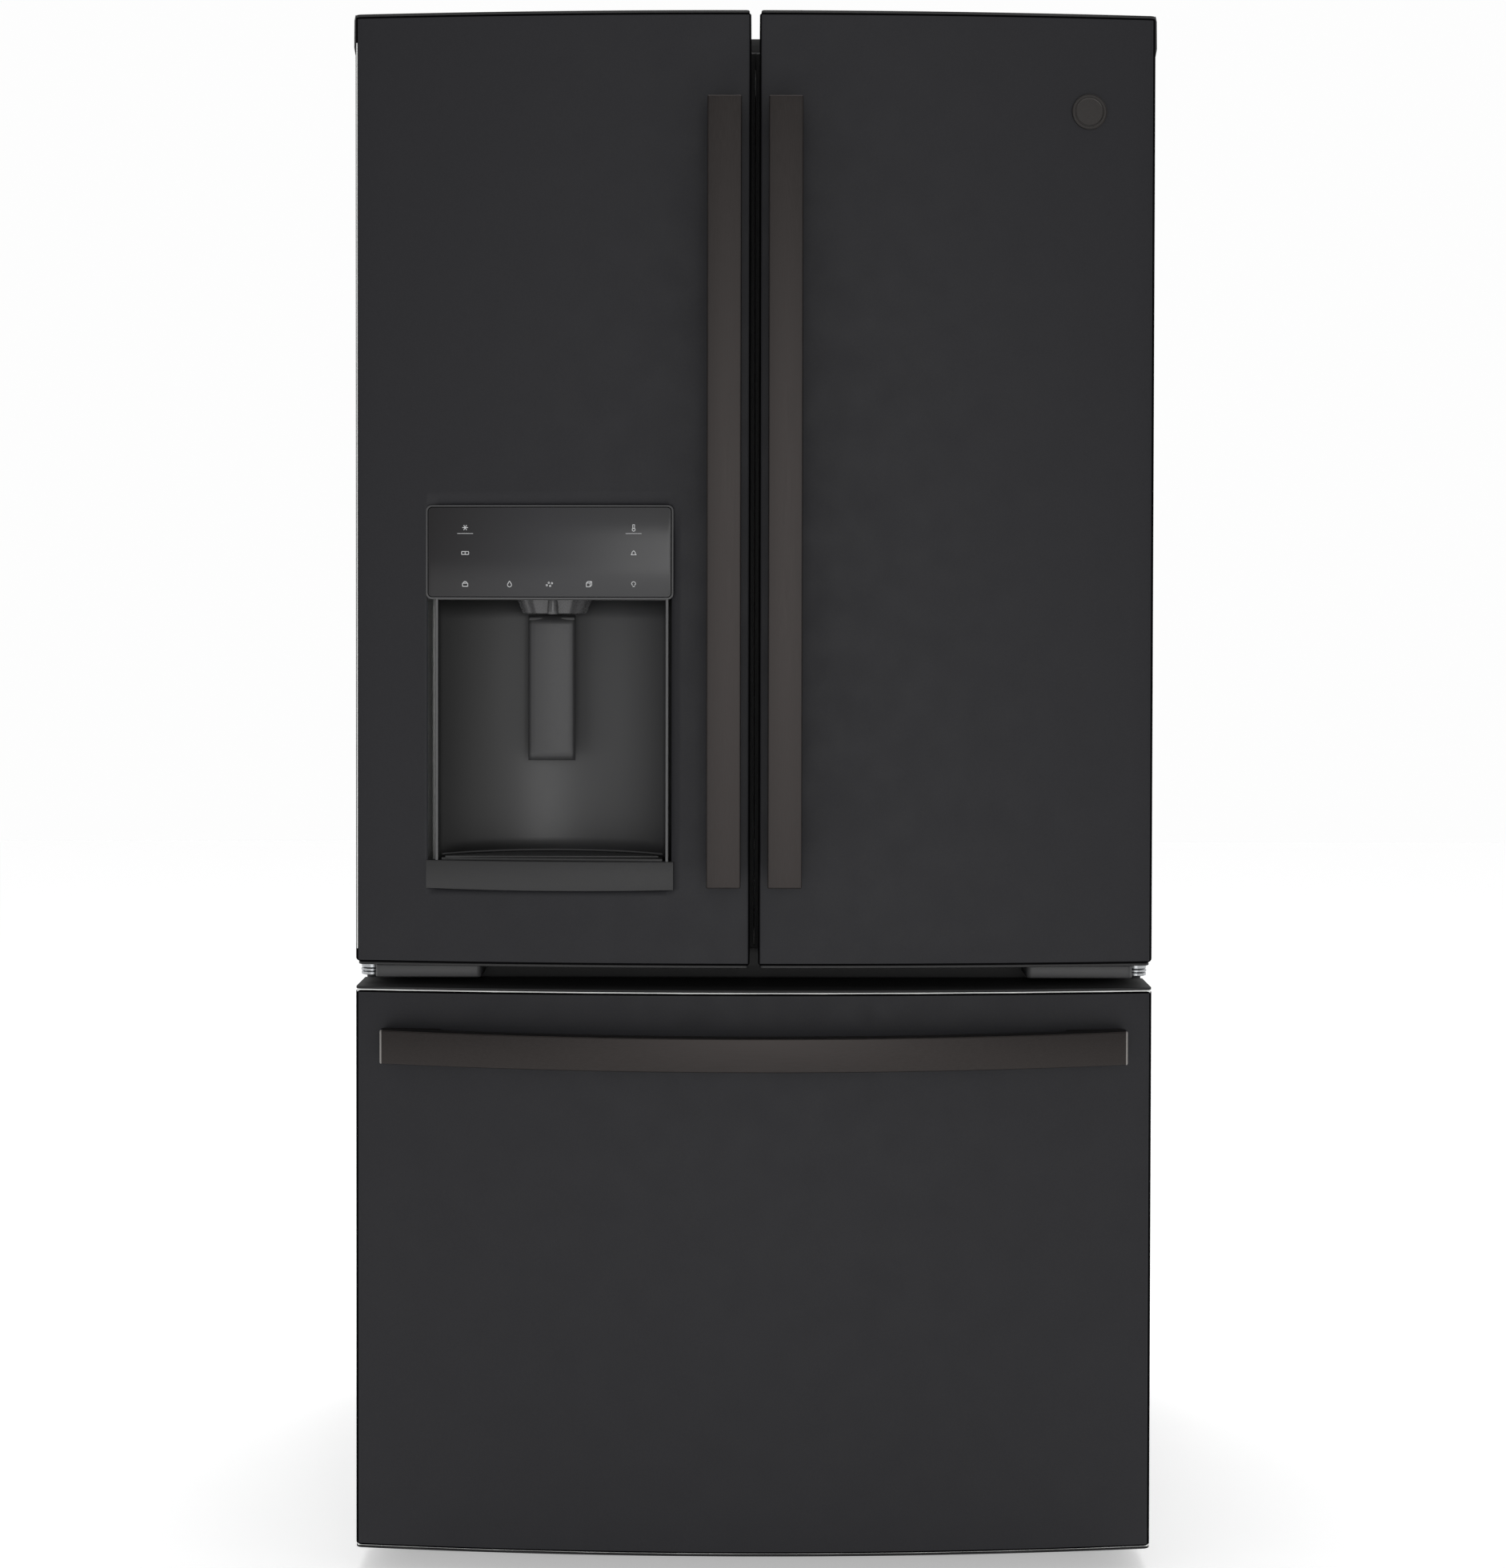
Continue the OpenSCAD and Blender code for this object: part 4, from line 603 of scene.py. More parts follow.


def drawerHandle():
    low, high = boxOf("drawer_handle")
    half = (high[0] - low[0]) / 2
    middle, tall = (low[2] + high[2]) / 2, (high[2] - low[2]) / 2
    section = roundRect(-tall, tall, 0, crossBar["depth"], crossBar["corner"])
    spots = stations(half, crossBar["rows"], (0.3, 0.8, 1.5, 2.2))
    rings = []
    for x, back, ring in bowedBar(half, crossBar["bow"], section, spots, crossBar["end"]):
        rings.append([(x, low[1] + back + p[1], middle + p[0]) for p in ring[::-1]])
    parts = [loft(rings)]
    for side in (-1, 1):
        inner = side * (half - crossBar["mount"])
        outer = side * (half - crossBar["inset"])
        mount = []
        places = (inner, inner + side * 2, outer - side * 2, outer)
        for x, back, ring in bowedBar(half, crossBar["bow"], section, places, 0):
            trim = crossBar["inset"] + (1.0 if x in (inner, outer) else 0.0)
            y0, y1 = low[1] + back + 10, frontY(x) + 1.0
            z0, z1 = low[2] + trim, high[2] - trim
            mount.append([(x, y0, z0), (x, y1, z0), (x, y1, z1), (x, y0, z1)])
        parts.append(loft(mount[::side]))
    piece = makePiece("drawerHandle", join(parts), "bronzeAcross", "freezer_drawer", ["drawer_handle"])
    piece.data.materials.append(finish["bronzeEdgeHighlight"])
    for polygon in piece.data.polygons:
        # the cut ends of the bar take the pale machined finish, partly a painted highlight, and the mounts
        # behind them don't
        x, y = abs(polygon.center.x) / unit, polygon.center.y / unit
        if x > half - crossBar["shine"] and y < frontY(half) - 20:
            polygon.material_index = 1


drawerHandle()
print("handles drawn")


panelLow, panelHigh = boxOf("dispenser_panel")
recess = {
    "half": 131.0,
    "rearRadius": 170.0,  # the back is one concave sweep
    "trim": 2.4,  # pale strips down the cheeks
    "lipHeight": 32.0,
    "wall": 2.0,
    "shift": 2.5,  # the recess stands this far right of its housing's middle
    "behind": 6.0,  # from the back sweep to the rear of the housing
}
dispX = (wellLow[0] + wellHigh[0]) / 2 + recess["shift"]
recessTop = panelLow[2]
recessFloor = wellLow[2] + recess["lipHeight"]
recessBack = wellHigh[1] - recess["behind"]


def bowedPlate(x0, x1, z0, z1, out, depth, corner, edge):
    # a round-cornered plate that follows the front's bow, standing out from it
    outline = roundRect(x0, x1, z0, z1, corner, 6)
    dense = []
    for i, p in enumerate(outline):
        q = outline[(i + 1) % len(outline)]
        pieces = max(1, int(abs(q[0] - p[0]) / 14))
        for k in range(pieces):
            dense.append((p[0] + (q[0] - p[0]) * k / pieces, p[1] + (q[1] - p[1]) * k / pieces))
    rings = []
    for level, inset in ((depth, 0.0), (edge, 0.0), (edge * 0.3, edge * 0.3), (0.0, edge)):
        rings.append([(x, frontY(x) - out + level, z) for x, z in shrink(dense, inset)])
    # the face is a row of strips from lower to upper edge, so that it follows the bow
    corners, faces = loft(rings, caps=False)
    count = len(dense)
    faces.append(list(range(count)))
    top = rings[-1]
    order = sorted(range(count), key=lambda i: top[i][0])
    start = 3 * count
    upper = [i for i in order if top[i][2] > (z0 + z1) / 2]
    lower = [i for i in order if top[i][2] <= (z0 + z1) / 2]
    for a in range(min(len(upper), len(lower)) - 1):
        faces.append([start + lower[a], start + lower[a + 1], start + upper[a + 1], start + upper[a]])
    return corners, faces


# each layer of the control panel: gap to the panel's edge, stand-out, depth, corner, edge, finish
panelLayers = {
    # the bezel's pale grey is partly a painted highlight along its rim
    "panelBezel": (0.0, 1.6, 4, 6.5, 0.6, "bracketGrey", (), "dark_plastic"),
    # the seam is a black plate standing out between bezel and glass: painted shade for the groove round the
    # glass
    "panelSeam": (1.9, 1.8, 4, 5.2, 0.1, "edgeShadeBlack", (), "dark_plastic"),
    "panelGlass": (2.8, 2.3, 3, 4.4, 0.4, "glassPanelPaintedLight", ["dispenser_panel"], "panel_glass"),
}
for name, (gap, out, depth, corner, edge, look, replaced, slot) in panelLayers.items():
    plate = bowedPlate(panelLow[0] + gap, panelHigh[0] - gap, panelLow[2] + gap, panelHigh[2] - gap,
                       out, depth, corner, edge)
    makePiece(name, plate, look, "left_door", replaced)


def closedBox(x0, x1, z0, z1):
    return [(x0, z0), (x1, z0), (x1, z1), (x0, z1), (x0, z0)]


def diamond(x, z):
    return [(x - 1, z), (x, z + 1.1), (x + 1.1, z), (x, z - 1), (x - 1, z)]


# widths of the printed lines, and how far the ink's two sides stand out from the door
printed = {"line": 0.8, "thin": 0.7, "rule": 0.5, "under": 1.9, "face": 2.35}
line, thin, rule = printed["line"], printed["thin"], printed["rule"]
underline = ([(-9, -6.6), (9, -6.6)], rule)
flake = [(3.2 * math.cos(math.radians(a)), 3.2 * math.sin(math.radians(a))) for a in (0, 60, 120)]

# plain pictures: share across the panel, share up it, and lines with their width, each round its own middle
icons = {
    "lock": (0.16, 0.16, [(closedBox(-3, 3, -2.6, 1), line), (arc(0, 1, 2.0, 0, 180, 8), line)]),
    "drop": (0.34, 0.16, [([(0, 3.6)] + arc(0, -0.8, 2.3, 30, -210, 14) + [(0, 3.6)], line)]),
    "crushedIce": (0.5, 0.16, [(diamond(*spot), thin)
                               for spot in ((-2.6, -1.2), (1.2, -1.9), (-0.4, 1.5), (3.2, 1.0))]),
    "cube": (0.66, 0.16, [(closedBox(-2.8, 1.4, -2.8, 1.4), line),
                          ([(-2.8, 1.4), (-1.0, 3.2), (3.2, 3.2), (1.4, 1.4)], line),
                          ([(3.2, 3.2), (3.2, -1.0), (1.4, -2.8)], line)]),
    "lamp": (0.84, 0.16, [(arc(0, 0.8, 2.2, -60, 240, 12), line), ([(-1.2, -2.4), (1.2, -2.4)], line)]),
    "snowflake": (0.16, 0.76, [([(-c, -s), (c, s)], line) for c, s in flake] + [underline]),
    "thermometer": (0.84, 0.76, [([(-1, 3.4), (-1, -1), (1, -1), (1, 3.4), (-1, 3.4)], thin),
                                 (arc(0, -2.2, 1.7), line), underline]),
    "iceTray": (0.16, 0.49, [(closedBox(-4, 4, -1.6, 1.6), line), ([(0, -1.6), (0, 1.6)], line)]),
    "bell": (0.84, 0.49, [([(-3, -1.8), (-1.8, -0.6), (-1.8, 1), (0, 2.8), (1.8, 1), (1.8, -0.6), (3, -1.8),
                            (-3, -1.8)], line)]),
}


def stroke(points, width):
    # a flat printed line on the control glass, through (x, z) points
    parts = []
    for p, q in zip(points, points[1:]):
        along = Vector((q[0] - p[0], q[1] - p[1]))
        side = Vector((-along.y, along.x)).normalized() * width / 2
        ring = [(a[0] + s * side.x, a[1] + s * side.y) for a, s in ((p, -1), (q, -1), (q, 1), (p, 1))]
        levels = (printed["under"], printed["face"])
        parts.append(loft([[(x, frontY(x) - out, z) for x, z in ring] for out in levels]))
    return join(parts)


marks = []
for across, up, lines in icons.values():
    x = panelLow[0] + (panelHigh[0] - panelLow[0]) * across
    z = panelLow[2] + (panelHigh[2] - panelLow[2]) * up
    marks += [stroke([(x + p[0], z + p[1]) for p in points], width) for points, width in lines]
makePiece("panelMarks", join(marks), "mark", "left_door", (), 80)


def recessLiner():
    # a curved plastic shell: straight cheeks, then one concave back
    half, radius = recess["half"], recess["rearRadius"]
    centreY = recessBack - radius
    edgeAngle = math.degrees(math.asin(half / radius))
    cheekY = centreY + math.sqrt(radius ** 2 - half ** 2)
    leftX, rightX = dispX - half, dispX + half
    path = [(leftX, frontY(leftX) + 1), (leftX, (frontY(leftX) + cheekY) / 2)]
    path += arc(dispX, centreY, radius, 90 + edgeAngle, 90 - edgeAngle, 40)
    path += [(rightX, (frontY(rightX) + cheekY) / 2), (rightX, frontY(rightX) + 1)]
    rise = recessTop + 6 - recessFloor
    rows = [[(x, y, recessFloor - 4 + rise * i / 12) for x, y in path] for i in range(13)]
    # the shell's colour carries painted shade: darker at its cheeks, paler round the middle
    shell = makePiece("dispenserRecess", loft(rows, close=False, caps=False), "wellPaintedShadeAbs", "left_door",
                      ["dispenser_well"], 60)
    thicken(shell, "wall", recess["wall"], 1)
    # roof and floor plates behind the shell's ends
    plates = [prism(path, recessTop - 1, recessTop + 2), prism(path, recessFloor - 6, recessFloor - 1)]
    makePiece("recessRoof", join(plates), "trayBlack", "left_door", ())
    strips = []
    for x, sign in ((leftX, 1), (rightX, -1)):
        x0, x1 = sorted((x - sign, x + sign * recess["trim"]))
        outline = roundRect(x0, x1, frontY(x) - 1.0, frontY(x) + 2.2, 1.0, 4)
        strips.append(prism(outline, recessFloor, recessTop))
    makePiece("recessTrims", join(strips), "trimGrey", "left_door", ())
    # rear box of the housing
    housing = roundBox((wellLow[0] + 3, wellHigh[0] - 3), (recessBack + 3, wellHigh[1]),
                       (wellLow[2] + 3, wellHigh[2] - 3), 4, 2.4)
    makePiece("recessHousing", housing, "trayBlack", "left_door", ())


recessLiner()

ledge = {"out": 1.4, "swell": 4.5, "sag": 1.5, "edge": 1.2, "depth": 12.0, "columns": 24}


def frontLip():
    # the bowed ledge under the recess
    x0, x1 = wellLow[0], wellHigh[0]
    edge, soft = ledge["edge"], ledge["edge"] * 0.3
    rings = []
    for i in range(ledge["columns"] + 1):
        x = x0 + (x1 - x0) * i / ledge["columns"]
        swell = 1 - ((x - dispX) / ((x1 - x0) / 2)) ** 2
        y = frontY(x) - ledge["out"] - ledge["swell"] * swell
        back = y + ledge["depth"] + ledge["swell"] * swell
        z0, z1 = wellLow[2] - ledge["sag"] * swell, recessFloor
        rings.append([(x, back, z0), (x, y + edge, z0), (x, y + soft, z0 + soft), (x, y, z0 + edge),
                      (x, y, z1 - edge), (x, y + soft, z1 - soft), (x, y + edge, z1), (x, back, z1)])
    makePiece("recessLip", loft(rings[::-1]), "lipAbs", "left_door", ())


frontLip()

tray = {"gap": 1.5, "side": 6.0, "bars": 11, "pitch": 5.0, "barWidth": 2.4, "firstBar": 14.0, "rim": 2.4}


def dripTray():
    # a slotted tray in the recess floor with a raised rear rim
    level = boxOf("drip_tray")[0][2]
    radius = recess["rearRadius"] - tray["gap"]
    centreY = recessBack - recess["rearRadius"]
    half = recess["half"] - tray["side"]
    edgeAngle = math.degrees(math.asin(half / radius))
    back = arc(dispX, centreY, radius, 90 - edgeAngle, 90 + edgeAngle, 30)
    columns = [dispX - half + 2 * half * i / 12 for i in range(13)]
    outline = back + [(x, frontY(x) + 2) for x in columns]
    makePiece("dripTray", prism(outline, level - 1, level + 3, 0.8), "trayBlack", "left_door", ["drip_tray"])
    rim = [(x, y - 0.6, level + 6) for x, y in back]
    makePiece("dripRim", tube(rim, tray["rim"], 8), "trimGrey", "left_door", ())
    bars = []
    for i in range(tray["bars"]):
        y = recessBack - tray["firstBar"] - i * tray["pitch"]
        reach = min(math.sqrt(max(0.0, (radius - 6) ** 2 - (y - centreY) ** 2)), half - 4)
        thick = (y - tray["barWidth"] / 2, y + tray["barWidth"] / 2)
        bars.append(roundBox((dispX - reach, dispX + reach), thick, (level + 2, level + 5), 1.0, 0.5))
    makePiece("dripGrille", join(bars), "trayBlack", "left_door", ())


dripTray()

push = {"columns": 12, "rows": 16, "crown": 2.2, "rim": 1.2, "wall": 3.0, "barrel": 3.4}


def paddle():
    # a crowned push paddle with a softened rim
    low, high = boxOf("dispenser_paddle")
    x0, x1, z0, z1 = low[0], high[0], low[2], high[2] - 1
    columns, rows = push["columns"], push["rows"]
    face = []
    for j in range(rows + 1):
        z = z0 + (z1 - z0) * j / rows
        row = []
        for i in range(columns + 1):
            u = i / columns
            crown = push["crown"] * (1 - (2 * u - 1) ** 2)
            edge = push["rim"] if i in (0, columns) or j in (0, rows) else 0.0
            row.append((x0 + (x1 - x0) * u, low[1] + 2.6 - crown + edge, z))
        face.append(row)
    piece = makePiece("dispenserPaddle", loft(face, close=False, caps=False), "paddleAbs", "dispenser_paddle",
                      ["dispenser_paddle"], 40)
    thicken(piece, "wall", push["wall"])
    # dark hinge barrel along its upper edge
    barrel = arc((low[1] + high[1]) / 2 + 1, high[2] - 4, push["barrel"], 0, 342, 19)
    makePiece("paddleHinge", prism(barrel, x0 + 1, x1 - 1, 0.6, "x"), "trayBlack", "dispenser_paddle", ())


paddle()

funnel = {"rows": 8, "sides": 32, "flutes": 12, "fluteDepth": 0.03, "taper": 0.15}


def spout():
    # a fluted half funnel with the water tube in front of it
    low, high = boxOf("dispenser_spout")
    top, bottom, back = high[2], low[2] + 1, high[1]
    deep = high[1] - low[1]
    rows = []
    for i in range(funnel["rows"] + 1):
        t = i / funnel["rows"]
        half = (high[0] - low[0]) / 2 * (1 - funnel["taper"] * t)
        depth = deep * (0.86 - 0.12 * t)
        ring = []
        for k in range(funnel["sides"] + 1):
            a = math.pi + math.pi * k / funnel["sides"]
            flute = 1 + funnel["fluteDepth"] * math.cos(funnel["flutes"] * a)
            ring.append((dispX + half * math.cos(a) * flute, back + depth * math.sin(a) * flute,
                         top - (top - bottom) * t))
        rows.append(ring)
    rows.append([(dispX + (p[0] - dispX) * 0.8, back + (p[1] - back) * 0.8, bottom - 0.8) for p in rows[-1]])
    waterTube = [(5.5, top - low[2]), (6.4, 4.0), (6.4, 0.8), (5.8, 0.0), (4.2, 0.0), (4.2, 3.0)]
    parts = [loft(rows), lathe(waterTube, (dispX, back - deep * 0.8, low[2]), "z", 24)]
    makePiece("dispenserSpout", join(parts), "smoke", "left_door", ["dispenser_spout"], 50)


spout()
print("dispenser fitted")

# from the rim to the middle of the badge: inward from its radius, and behind (+) or ahead (-) of the door
badgeSteps = [(0.6, 1.2), (0.0, 0.6), (0.0, -1.5), (0.3, -2.0), (0.8, -2.0), (1.1, -1.5), (3.2, -1.5),
              (3.5, -2.0), (4.1, -2.0), (4.4, -1.2), (5.2, -0.8)]


def badge():
    # a plain ringed disc
    low, high = boxOf("badge")
    x, z = (low[0] + high[0]) / 2, (low[2] + high[2]) / 2
    radius = (high[2] - low[2]) / 2
    profile = [(radius - inward, out) for inward, out in badgeSteps] + [(0.2, -0.8)]
    corners, faces = lathe(profile, (0, 0, 0), "y", 64)
    turn = Matrix.Rotation(math.asin(x / bowRadius), 4, "Z")
    moved = [tuple(turn @ Vector(c) + Vector((x, frontY(x), z))) for c in corners]
    makePiece("badgeDisc", (moved, [face[::-1] for face in faces]), "badge", "right_door", ["badge"],
              14)


badge()

caseLow, caseHigh = boxOf("outer_case")
caseSheet = {"corner": 4.0, "thickness": 1.0, "middle": 374.0}  # middle: a row of corners half way back


def outerCase():
    # one folded sheet over both sides and the top, with a fold round the front
    r = caseSheet["corner"]
    x0, x1, z0, z1 = caseLow[0], caseHigh[0], caseLow[2], caseHigh[2]
    path = [(x1, z0), (x1, (z0 + z1) / 2)] + arc(x1 - r, z1 - r, r, 0, 90, 5) + [(0, z1)]
    path += arc(x0 + r, z1 - r, r, 90, 180, 5) + [(x0, (z0 + z1) / 2), (x0, z0)]
    rows = []
    for inset, back in ((20.0, 0.0), (1.5, 0.0), (0.6, 0.5), (0.1, 1.2), (0.0, 2.5),
                        (0.0, caseSheet["middle"]), (0.0, caseHigh[1] - caseLow[1])):
        row = shrink(path, inset)
        for i in (0, -1):
            row[i] = (path[i][0] - math.copysign(inset, path[i][0]), path[i][1])
        rows.append([(x, caseLow[1] + back, z) for x, z in row])
    piece = makePiece("outerCase", loft(rows, close=False, caps=False), "caseGrey", "cabinet", ["outer_case"],
                      35)
    thicken(piece, "sheet", caseSheet["thickness"])


outerCase()

midHinge = {
    "washers": ((12.0, 3.4), (10.6, 1.0), (12.4, 2.8), (10.0, 1.0), (12.0, 4.4)),  # radius and thickness
    "plateEnd": 440.0,
    "coverReach": 128.0,  # from the hinge axis inward
    "armWidth": 11.0,  # half of it
    "arm": 4.0,
    "flange": 70.0,
}


def hinges():
    # washer stack, plate and grey cover at each end of the rail, and the two arms over the doors
    gapLow, gapHigh = skinHigh[2], doorBottom - hingePocket["lip"]
    plateZ = gapLow + 7.5
    width, inward = midHinge["armWidth"], axisX - midHinge["coverReach"]
    armTop, caseTop, caseFront = armZ + midHinge["arm"], caseHigh[2], caseLow[1]
    covers, steel, arms = [], [], []
    for side in (-1, 1):
        x = side * axisX
        stack = []
        level = gapLow + 8
        for radius, step in midHinge["washers"]:
            stack += [(radius - 0.5, level), (radius, level + 0.5), (radius, level + step - 0.5),
                      (radius - 0.5, level + step)]
            level += step
        steel.append(lathe(stack + [(4, level), (4, level + 16)], (x, axisY, 0), "z", 36))
        steel.append(roundBox(sided(side, inward, midHinge["plateEnd"]), (axisY - 8, caseFront),
                              (plateZ, plateZ + 4), 3, 1.0))
        outline = roundRect(*sided(side, inward, axisX - 7), axisY - 26, caseFront - 4, 6, 6)
        covers.append(prism(outline, plateZ - 0.3, gapHigh - 3.0, 1.6))
        across = sided(side, axisX - width, axisX + width)
        arms.append(roundBox(across, (axisY, caseFront + 10), (armZ, armTop), 2, 0.8))
        eye = [(width - 0.5, armZ), (width, armZ + 0.5), (width, armTop - 0.5), (width - 0.5, armTop)]
        arms.append(lathe(eye, (x, axisY, 0), "z", 32))
        arms.append(roundBox(across, (caseFront + 6, caseFront + 10), (caseTop, armTop), 1, 0.5))
        flange = sided(side, axisX - midHinge["flange"], axisX + width)
        arms.append(roundBox(flange, (caseFront + 6, caseFront + 90), (caseTop, caseTop + 4), 4, 1.0))
        arms.append(lathe([(4, armZ - 18), (4, armZ + 1)], (x, axisY, 0), "z", 20))
    makePiece("hingeCovers", join(covers), "bracketGrey", "cabinet", ())
    makePiece("hingePlates", join(steel + arms), "zinc", "cabinet", ["hinges"])


hinges()

seal = {"gap": 0.25, "reach": 11.5, "depth": 7.5, "trimHeight": 17.0, "trimEnd": 78.0}


def gapSeals():
    # black vinyl lips behind the doors' meeting edges, and the trim along the top of the case
    for side, body in ((-1, "left_door"), (1, "right_door")):
        span = sided(side, seal["gap"], seal["reach"])
        shape = roundBox(span, (rear + 0.1, rear + seal["depth"]), (doorBottom + 6, caseHigh[2] - 3),
                         0.2, 1.0)
        makePiece(body.replace("_door", "GapSeal"), shape, "lipAbs", body, ())
    trim = roundBox((seal["trimEnd"] - axisX, axisX - seal["trimEnd"]), (caseLow[1] + 3, caseLow[1] + 15),
                    (caseHigh[2], caseHigh[2] + seal["trimHeight"]), 2.5, 1.5)
    makePiece("topTrim", trim, "bracketGrey", "cabinet", ())


gapSeals()

cover = {"inner": 78.0, "outer": 12.0, "depth": 98.0, "corner": 8.0, "edge": 3.0}


def topCovers():
    # moulded covers over the upper hinges
    z0, z1 = caseHigh[2], boxOf("hinge_covers")[1][2]
    nose = cover["outer"]
    parts = []
    for side in (-1, 1):
        span = sided(side, axisX - cover["inner"], axisX + nose)
        parts.append(roundBox(span, (caseLow[1] + 2, caseLow[1] + cover["depth"]), (z0, z1), cover["corner"],
                              cover["edge"]))
        armSpan = sided(side, axisX - nose, axisX + nose)
        arm = roundRect(*armSpan, axisY - nose, caseLow[1] + 14, nose - 0.1, 8)
        parts.append(prism(arm, armZ + 4, z1 - 0.2, 2.5))
    makePiece("topHingeCovers", join(parts), "blackAbs", "cabinet", ["hinge_covers"])


topCovers()
print("case and hinges closed")


def soften(node, look, body, width):
    # the same shape as the CAD piece, with its sharp edges eased by width millimetres
    source = frame["nodes"][node]
    shape = bmesh.new()
    shape.from_mesh(source.data)
    shape.transform(source.matrix_world)
    bmesh.ops.remove_doubles(shape, verts=shape.verts, dist=1e-5)
    bmesh.ops.dissolve_limit(shape, angle_limit=0.02, verts=shape.verts, edges=shape.edges)
    mesh = bpy.data.meshes.new(node + "Soft")
    shape.to_mesh(mesh)
    shape.free()
    mesh.materials.clear()
    piece = standPiece(node + "Soft", mesh, look, body, 32)
    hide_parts(node)
    ease = piece.modifiers.new("ease", "BEVEL")
    ease.width = width * unit
    ease.segments = 2
    ease.limit_method = "ANGLE"
    ease.angle_limit = math.radians(35)
    ease.harden_normals = True


# finish, body and how far the edges are eased
eased = {
    "ice_bucket": ("white", "left_door", 3.0), "ice_maker": ("white", "cabinet", 2.5),
    "left_inner_door": ("liner", "left_door", 2.0), "right_inner_door": ("liner", "right_door", 2.0),
    "drawer_inner": ("liner", "freezer_drawer", 2.0), "left_door_bins": ("clear", "left_door", 1.2),
    "right_door_bins": ("clear", "right_door", 1.2), "crisper_left": ("clear", "crisper_left", 1.2),
    "crisper_right": ("clear", "crisper_right", 1.2), "deli_drawer": ("clear", "deli_drawer", 1.2),
    "shelf_frames": ("white", "cabinet", 1.5), "evaporator_cover": ("white", "cabinet", 1.0),
    "machine_cover": ("frameSteel", "cabinet", 0.4), "toe_grille": ("blackAbs", "cabinet", 0.8),
    "drain_pan": ("trayBlack", "cabinet", 0.8), "water_valve": ("white", "cabinet", 1.5),
    "center_rail": ("railBlack", "cabinet", 0.4), "mullion_flap": ("railBlack", "mullion_flap", 2.0),
    "drawer_basket": ("wire", "freezer_drawer", 1.0), "upper_basket": ("wire", "upper_basket", 1.0),
    "water_filter": ("white", "water_filter", 1.2), "leveling_legs": ("zinc", "cabinet", 1.0),
    "front_rollers": ("nylon", "front_rollers", 1.5), "rear_rollers": ("nylon", "rear_rollers", 1.5),
    "drawer_gasket": ("gasket", "freezer_drawer", 3.0), "left_gasket": ("gasket", "left_door", 3.0),
    "right_gasket": ("gasket", "right_door", 3.0), "compressor": ("compressor", "cabinet", 2.0),
}
for node, (look, body, width) in eased.items():
    soften(node, look, body, width)
print("eased pieces:", len(eased))

# these keep the CAD shape and only take a finish
dressed = {
    "rear_panel": "sheet", "cabinet_foam": "foam", "fresh_liner": "liner", "freezer_liner": "liner",
    "base_frame": "frameSteel", "condenser": "compressor", "evaporator": "fins",
    "refrigerant_lines": "copper", "shelf_tracks": "zinc", "shelf_glass": "shelfGlass",
    "freezer_rails": "zinc", "condenser_fan": "nylon", "evaporator_fan": "white",
    "drawer_rails": "zinc", "rail_mids": "zinc",
}
for node, look in dressed.items():
    mesh = frame["nodes"][node].data
    mesh.materials.clear()
    mesh.materials.append(finish[look])
print("dressed pieces:", len(dressed))

lamp = {"half": 62.0, "front": 60.0, "depth": 36.0, "below": 2.2, "thick": 5.0}


def ceilingLamp():
    # an opal lens in the ceiling of the fresh food space
    low, high = boxOf("fresh_liner")
    ceiling = high[2] - lamp["below"]
    start = low[1] + lamp["front"]
    lens = roundBox((-lamp["half"], lamp["half"]), (start, start + lamp["depth"]),
                    (ceiling - lamp["thick"], ceiling), 6, 2.0)
    makePiece("ceilingLamp", lens, "led", "cabinet", ())


ceilingLamp()

# lengths in metres here
studio = {
    "floor": "#fafafa", "floorReach": 9.0, "floorGlow": 0.38,
    "ambient": 0.42, "backdrop": 1.02,  # strength of the room behind the camera and behind the object
    "lamps": (  # name, place, target, size, watts
        ("frontSoftbox", (0.2, -5.4, 1.25), (0, 0, 1.1), 2.2, 41),
        ("topSoftbox", (0, 0.8, 3.9), (0, 0, 0), 3.2, 66),
    ),
    "camera": (0.0, -3.6, 1.12), "tilt": 89.0, "roll": -0.11, "lens": 65.3,
    "shiftX": -0.001, "shiftY": -0.0927,
}


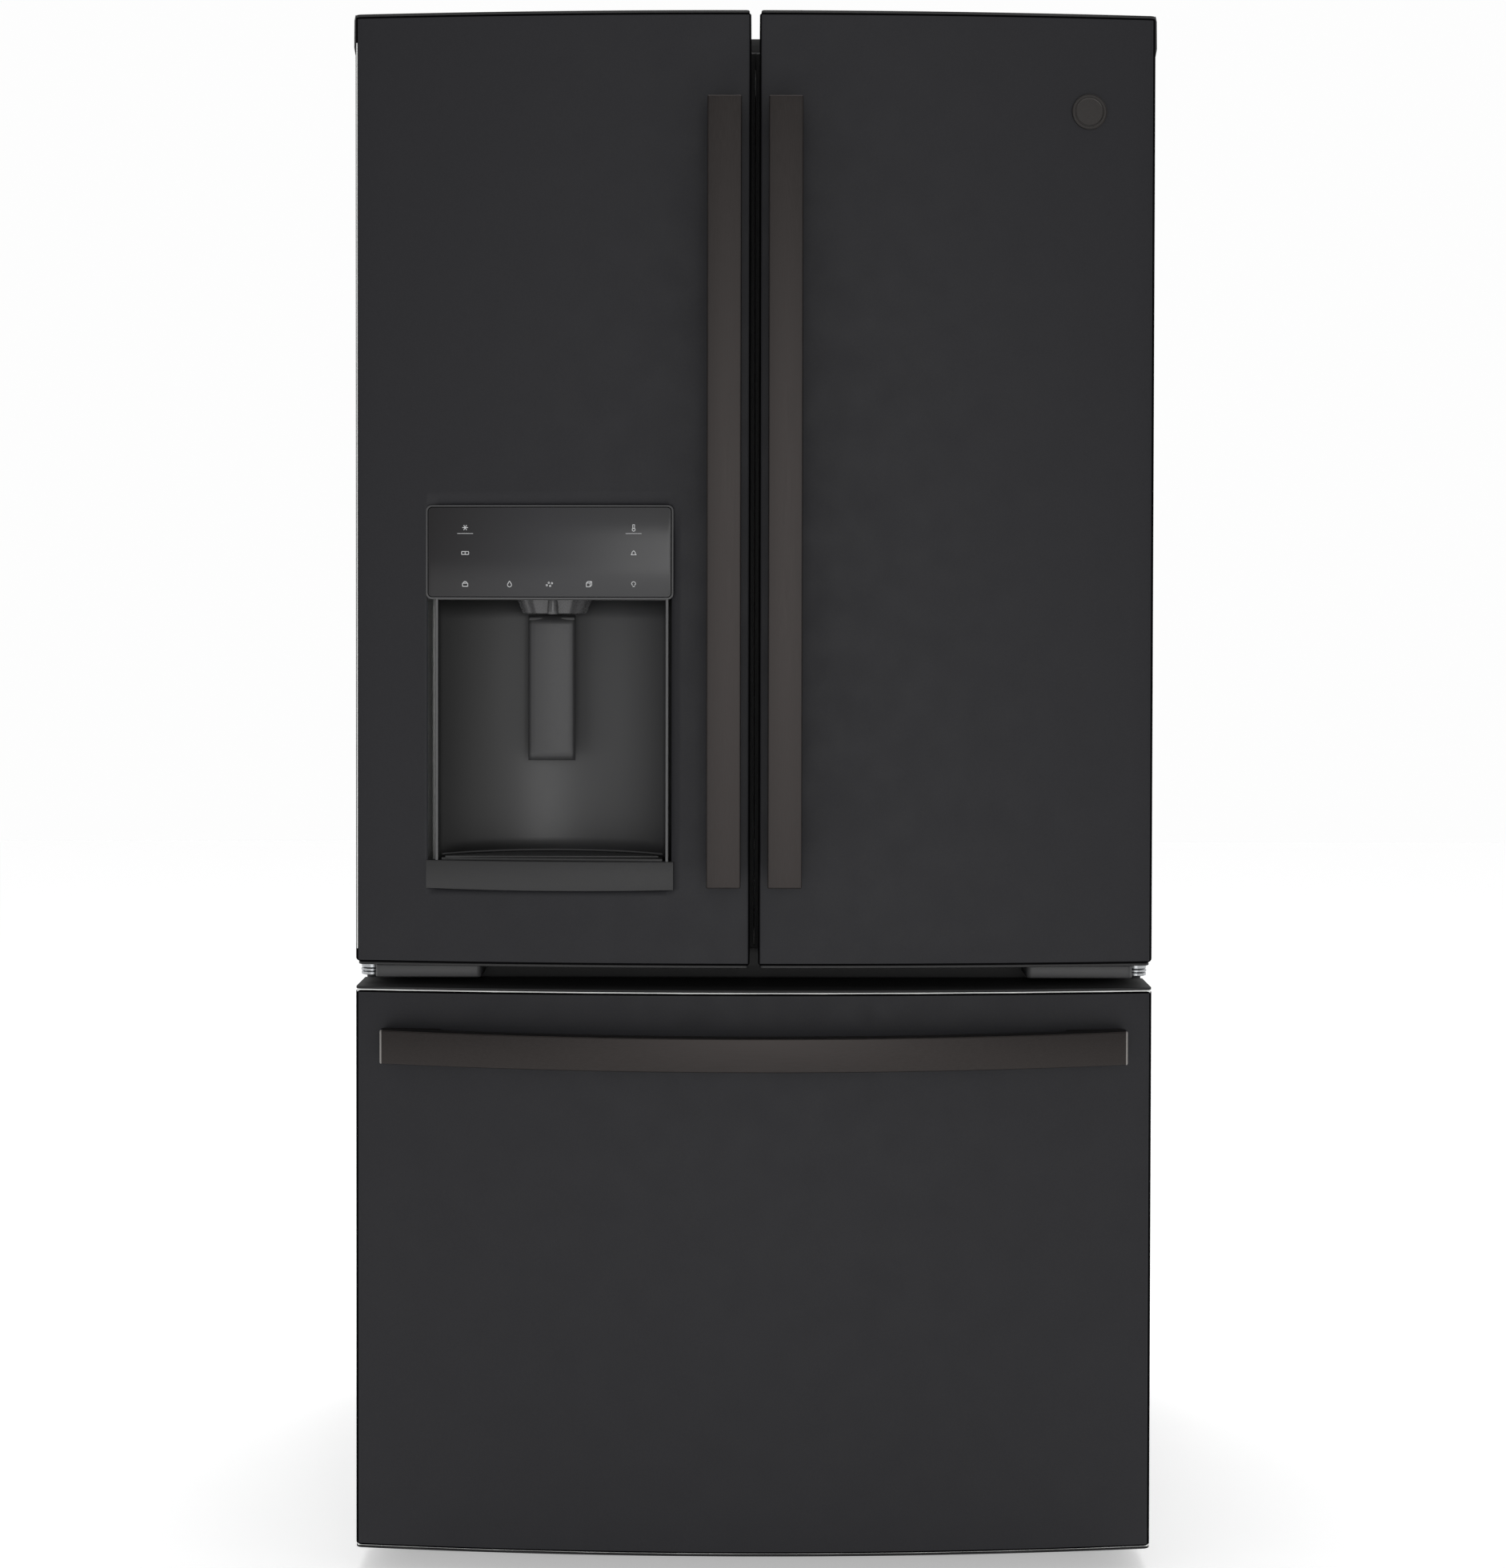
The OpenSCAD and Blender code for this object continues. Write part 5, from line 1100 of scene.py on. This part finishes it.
def buildStudio():
    world = bpy.data.worlds.new("softRoom")
    bpy.context.scene.world = world
    world.use_nodes = True
    tree = world.node_tree
    back = tree.nodes["Background"]
    back.inputs["Color"].default_value = linear("#fbfbfb")
    where = addNode(tree, "ShaderNodeTexCoord")
    split = addNode(tree, "ShaderNodeSeparateXYZ", None, {"Vector": where.outputs["Generated"]})
    sweep = addNode(tree, "ShaderNodeMapRange", {"interpolation_type": "SMOOTHSTEP"},
                    {"Value": split.outputs["Y"]}, From_Min=-0.3, From_Max=0.8,
                    To_Min=studio["ambient"], To_Max=studio["backdrop"])
    tree.links.new(sweep.outputs["Result"], back.inputs["Strength"])
    mesh = bpy.data.meshes.new("studioFloor")
    reach = studio["floorReach"]
    mesh.from_pydata([(-reach, -reach, 0), (reach, -reach, 0), (reach, reach, 0), (-reach, reach, 0)], [],
                     [[0, 1, 2, 3]])
    # painted plywood sweep: pale, dead flat, lit a little from below so that it has no dark far edge
    mesh.materials.append(surface("paleSweep", studio["floor"], 0.8, cell=80.0, gloss=(0.75, 0.85),
                                  Emission_Color=linear("#ffffff"), Emission_Strength=studio["floorGlow"]))
    floor = bpy.data.objects.new("studioFloor", mesh)
    bpy.context.scene.collection.objects.link(floor)
    for name, spot, target, size, power in studio["lamps"]:
        data = bpy.data.lights.new(name, "AREA")
        data.shape = "SQUARE"
        data.size = size
        data.energy = power
        light = bpy.data.objects.new(name, data)
        light.location = spot
        light.rotation_euler = (Vector(target) - Vector(spot)).to_track_quat("-Z", "Y").to_euler()
        bpy.context.scene.collection.objects.link(light)


def buildCamera():
    data = bpy.data.cameras.new("camera")
    data.lens = studio["lens"]
    data.sensor_width = 36.0
    data.shift_x = studio["shiftX"]
    data.shift_y = studio["shiftY"]
    camera = bpy.data.objects.new("camera", data)
    camera.location = studio["camera"]
    camera.rotation_euler = (math.radians(studio["tilt"]), math.radians(studio["roll"]), 0)
    bpy.context.scene.collection.objects.link(camera)
    bpy.context.scene.camera = camera


buildStudio()
buildCamera()
bpy.context.scene.view_settings.view_transform = "Standard"
print("studio set")
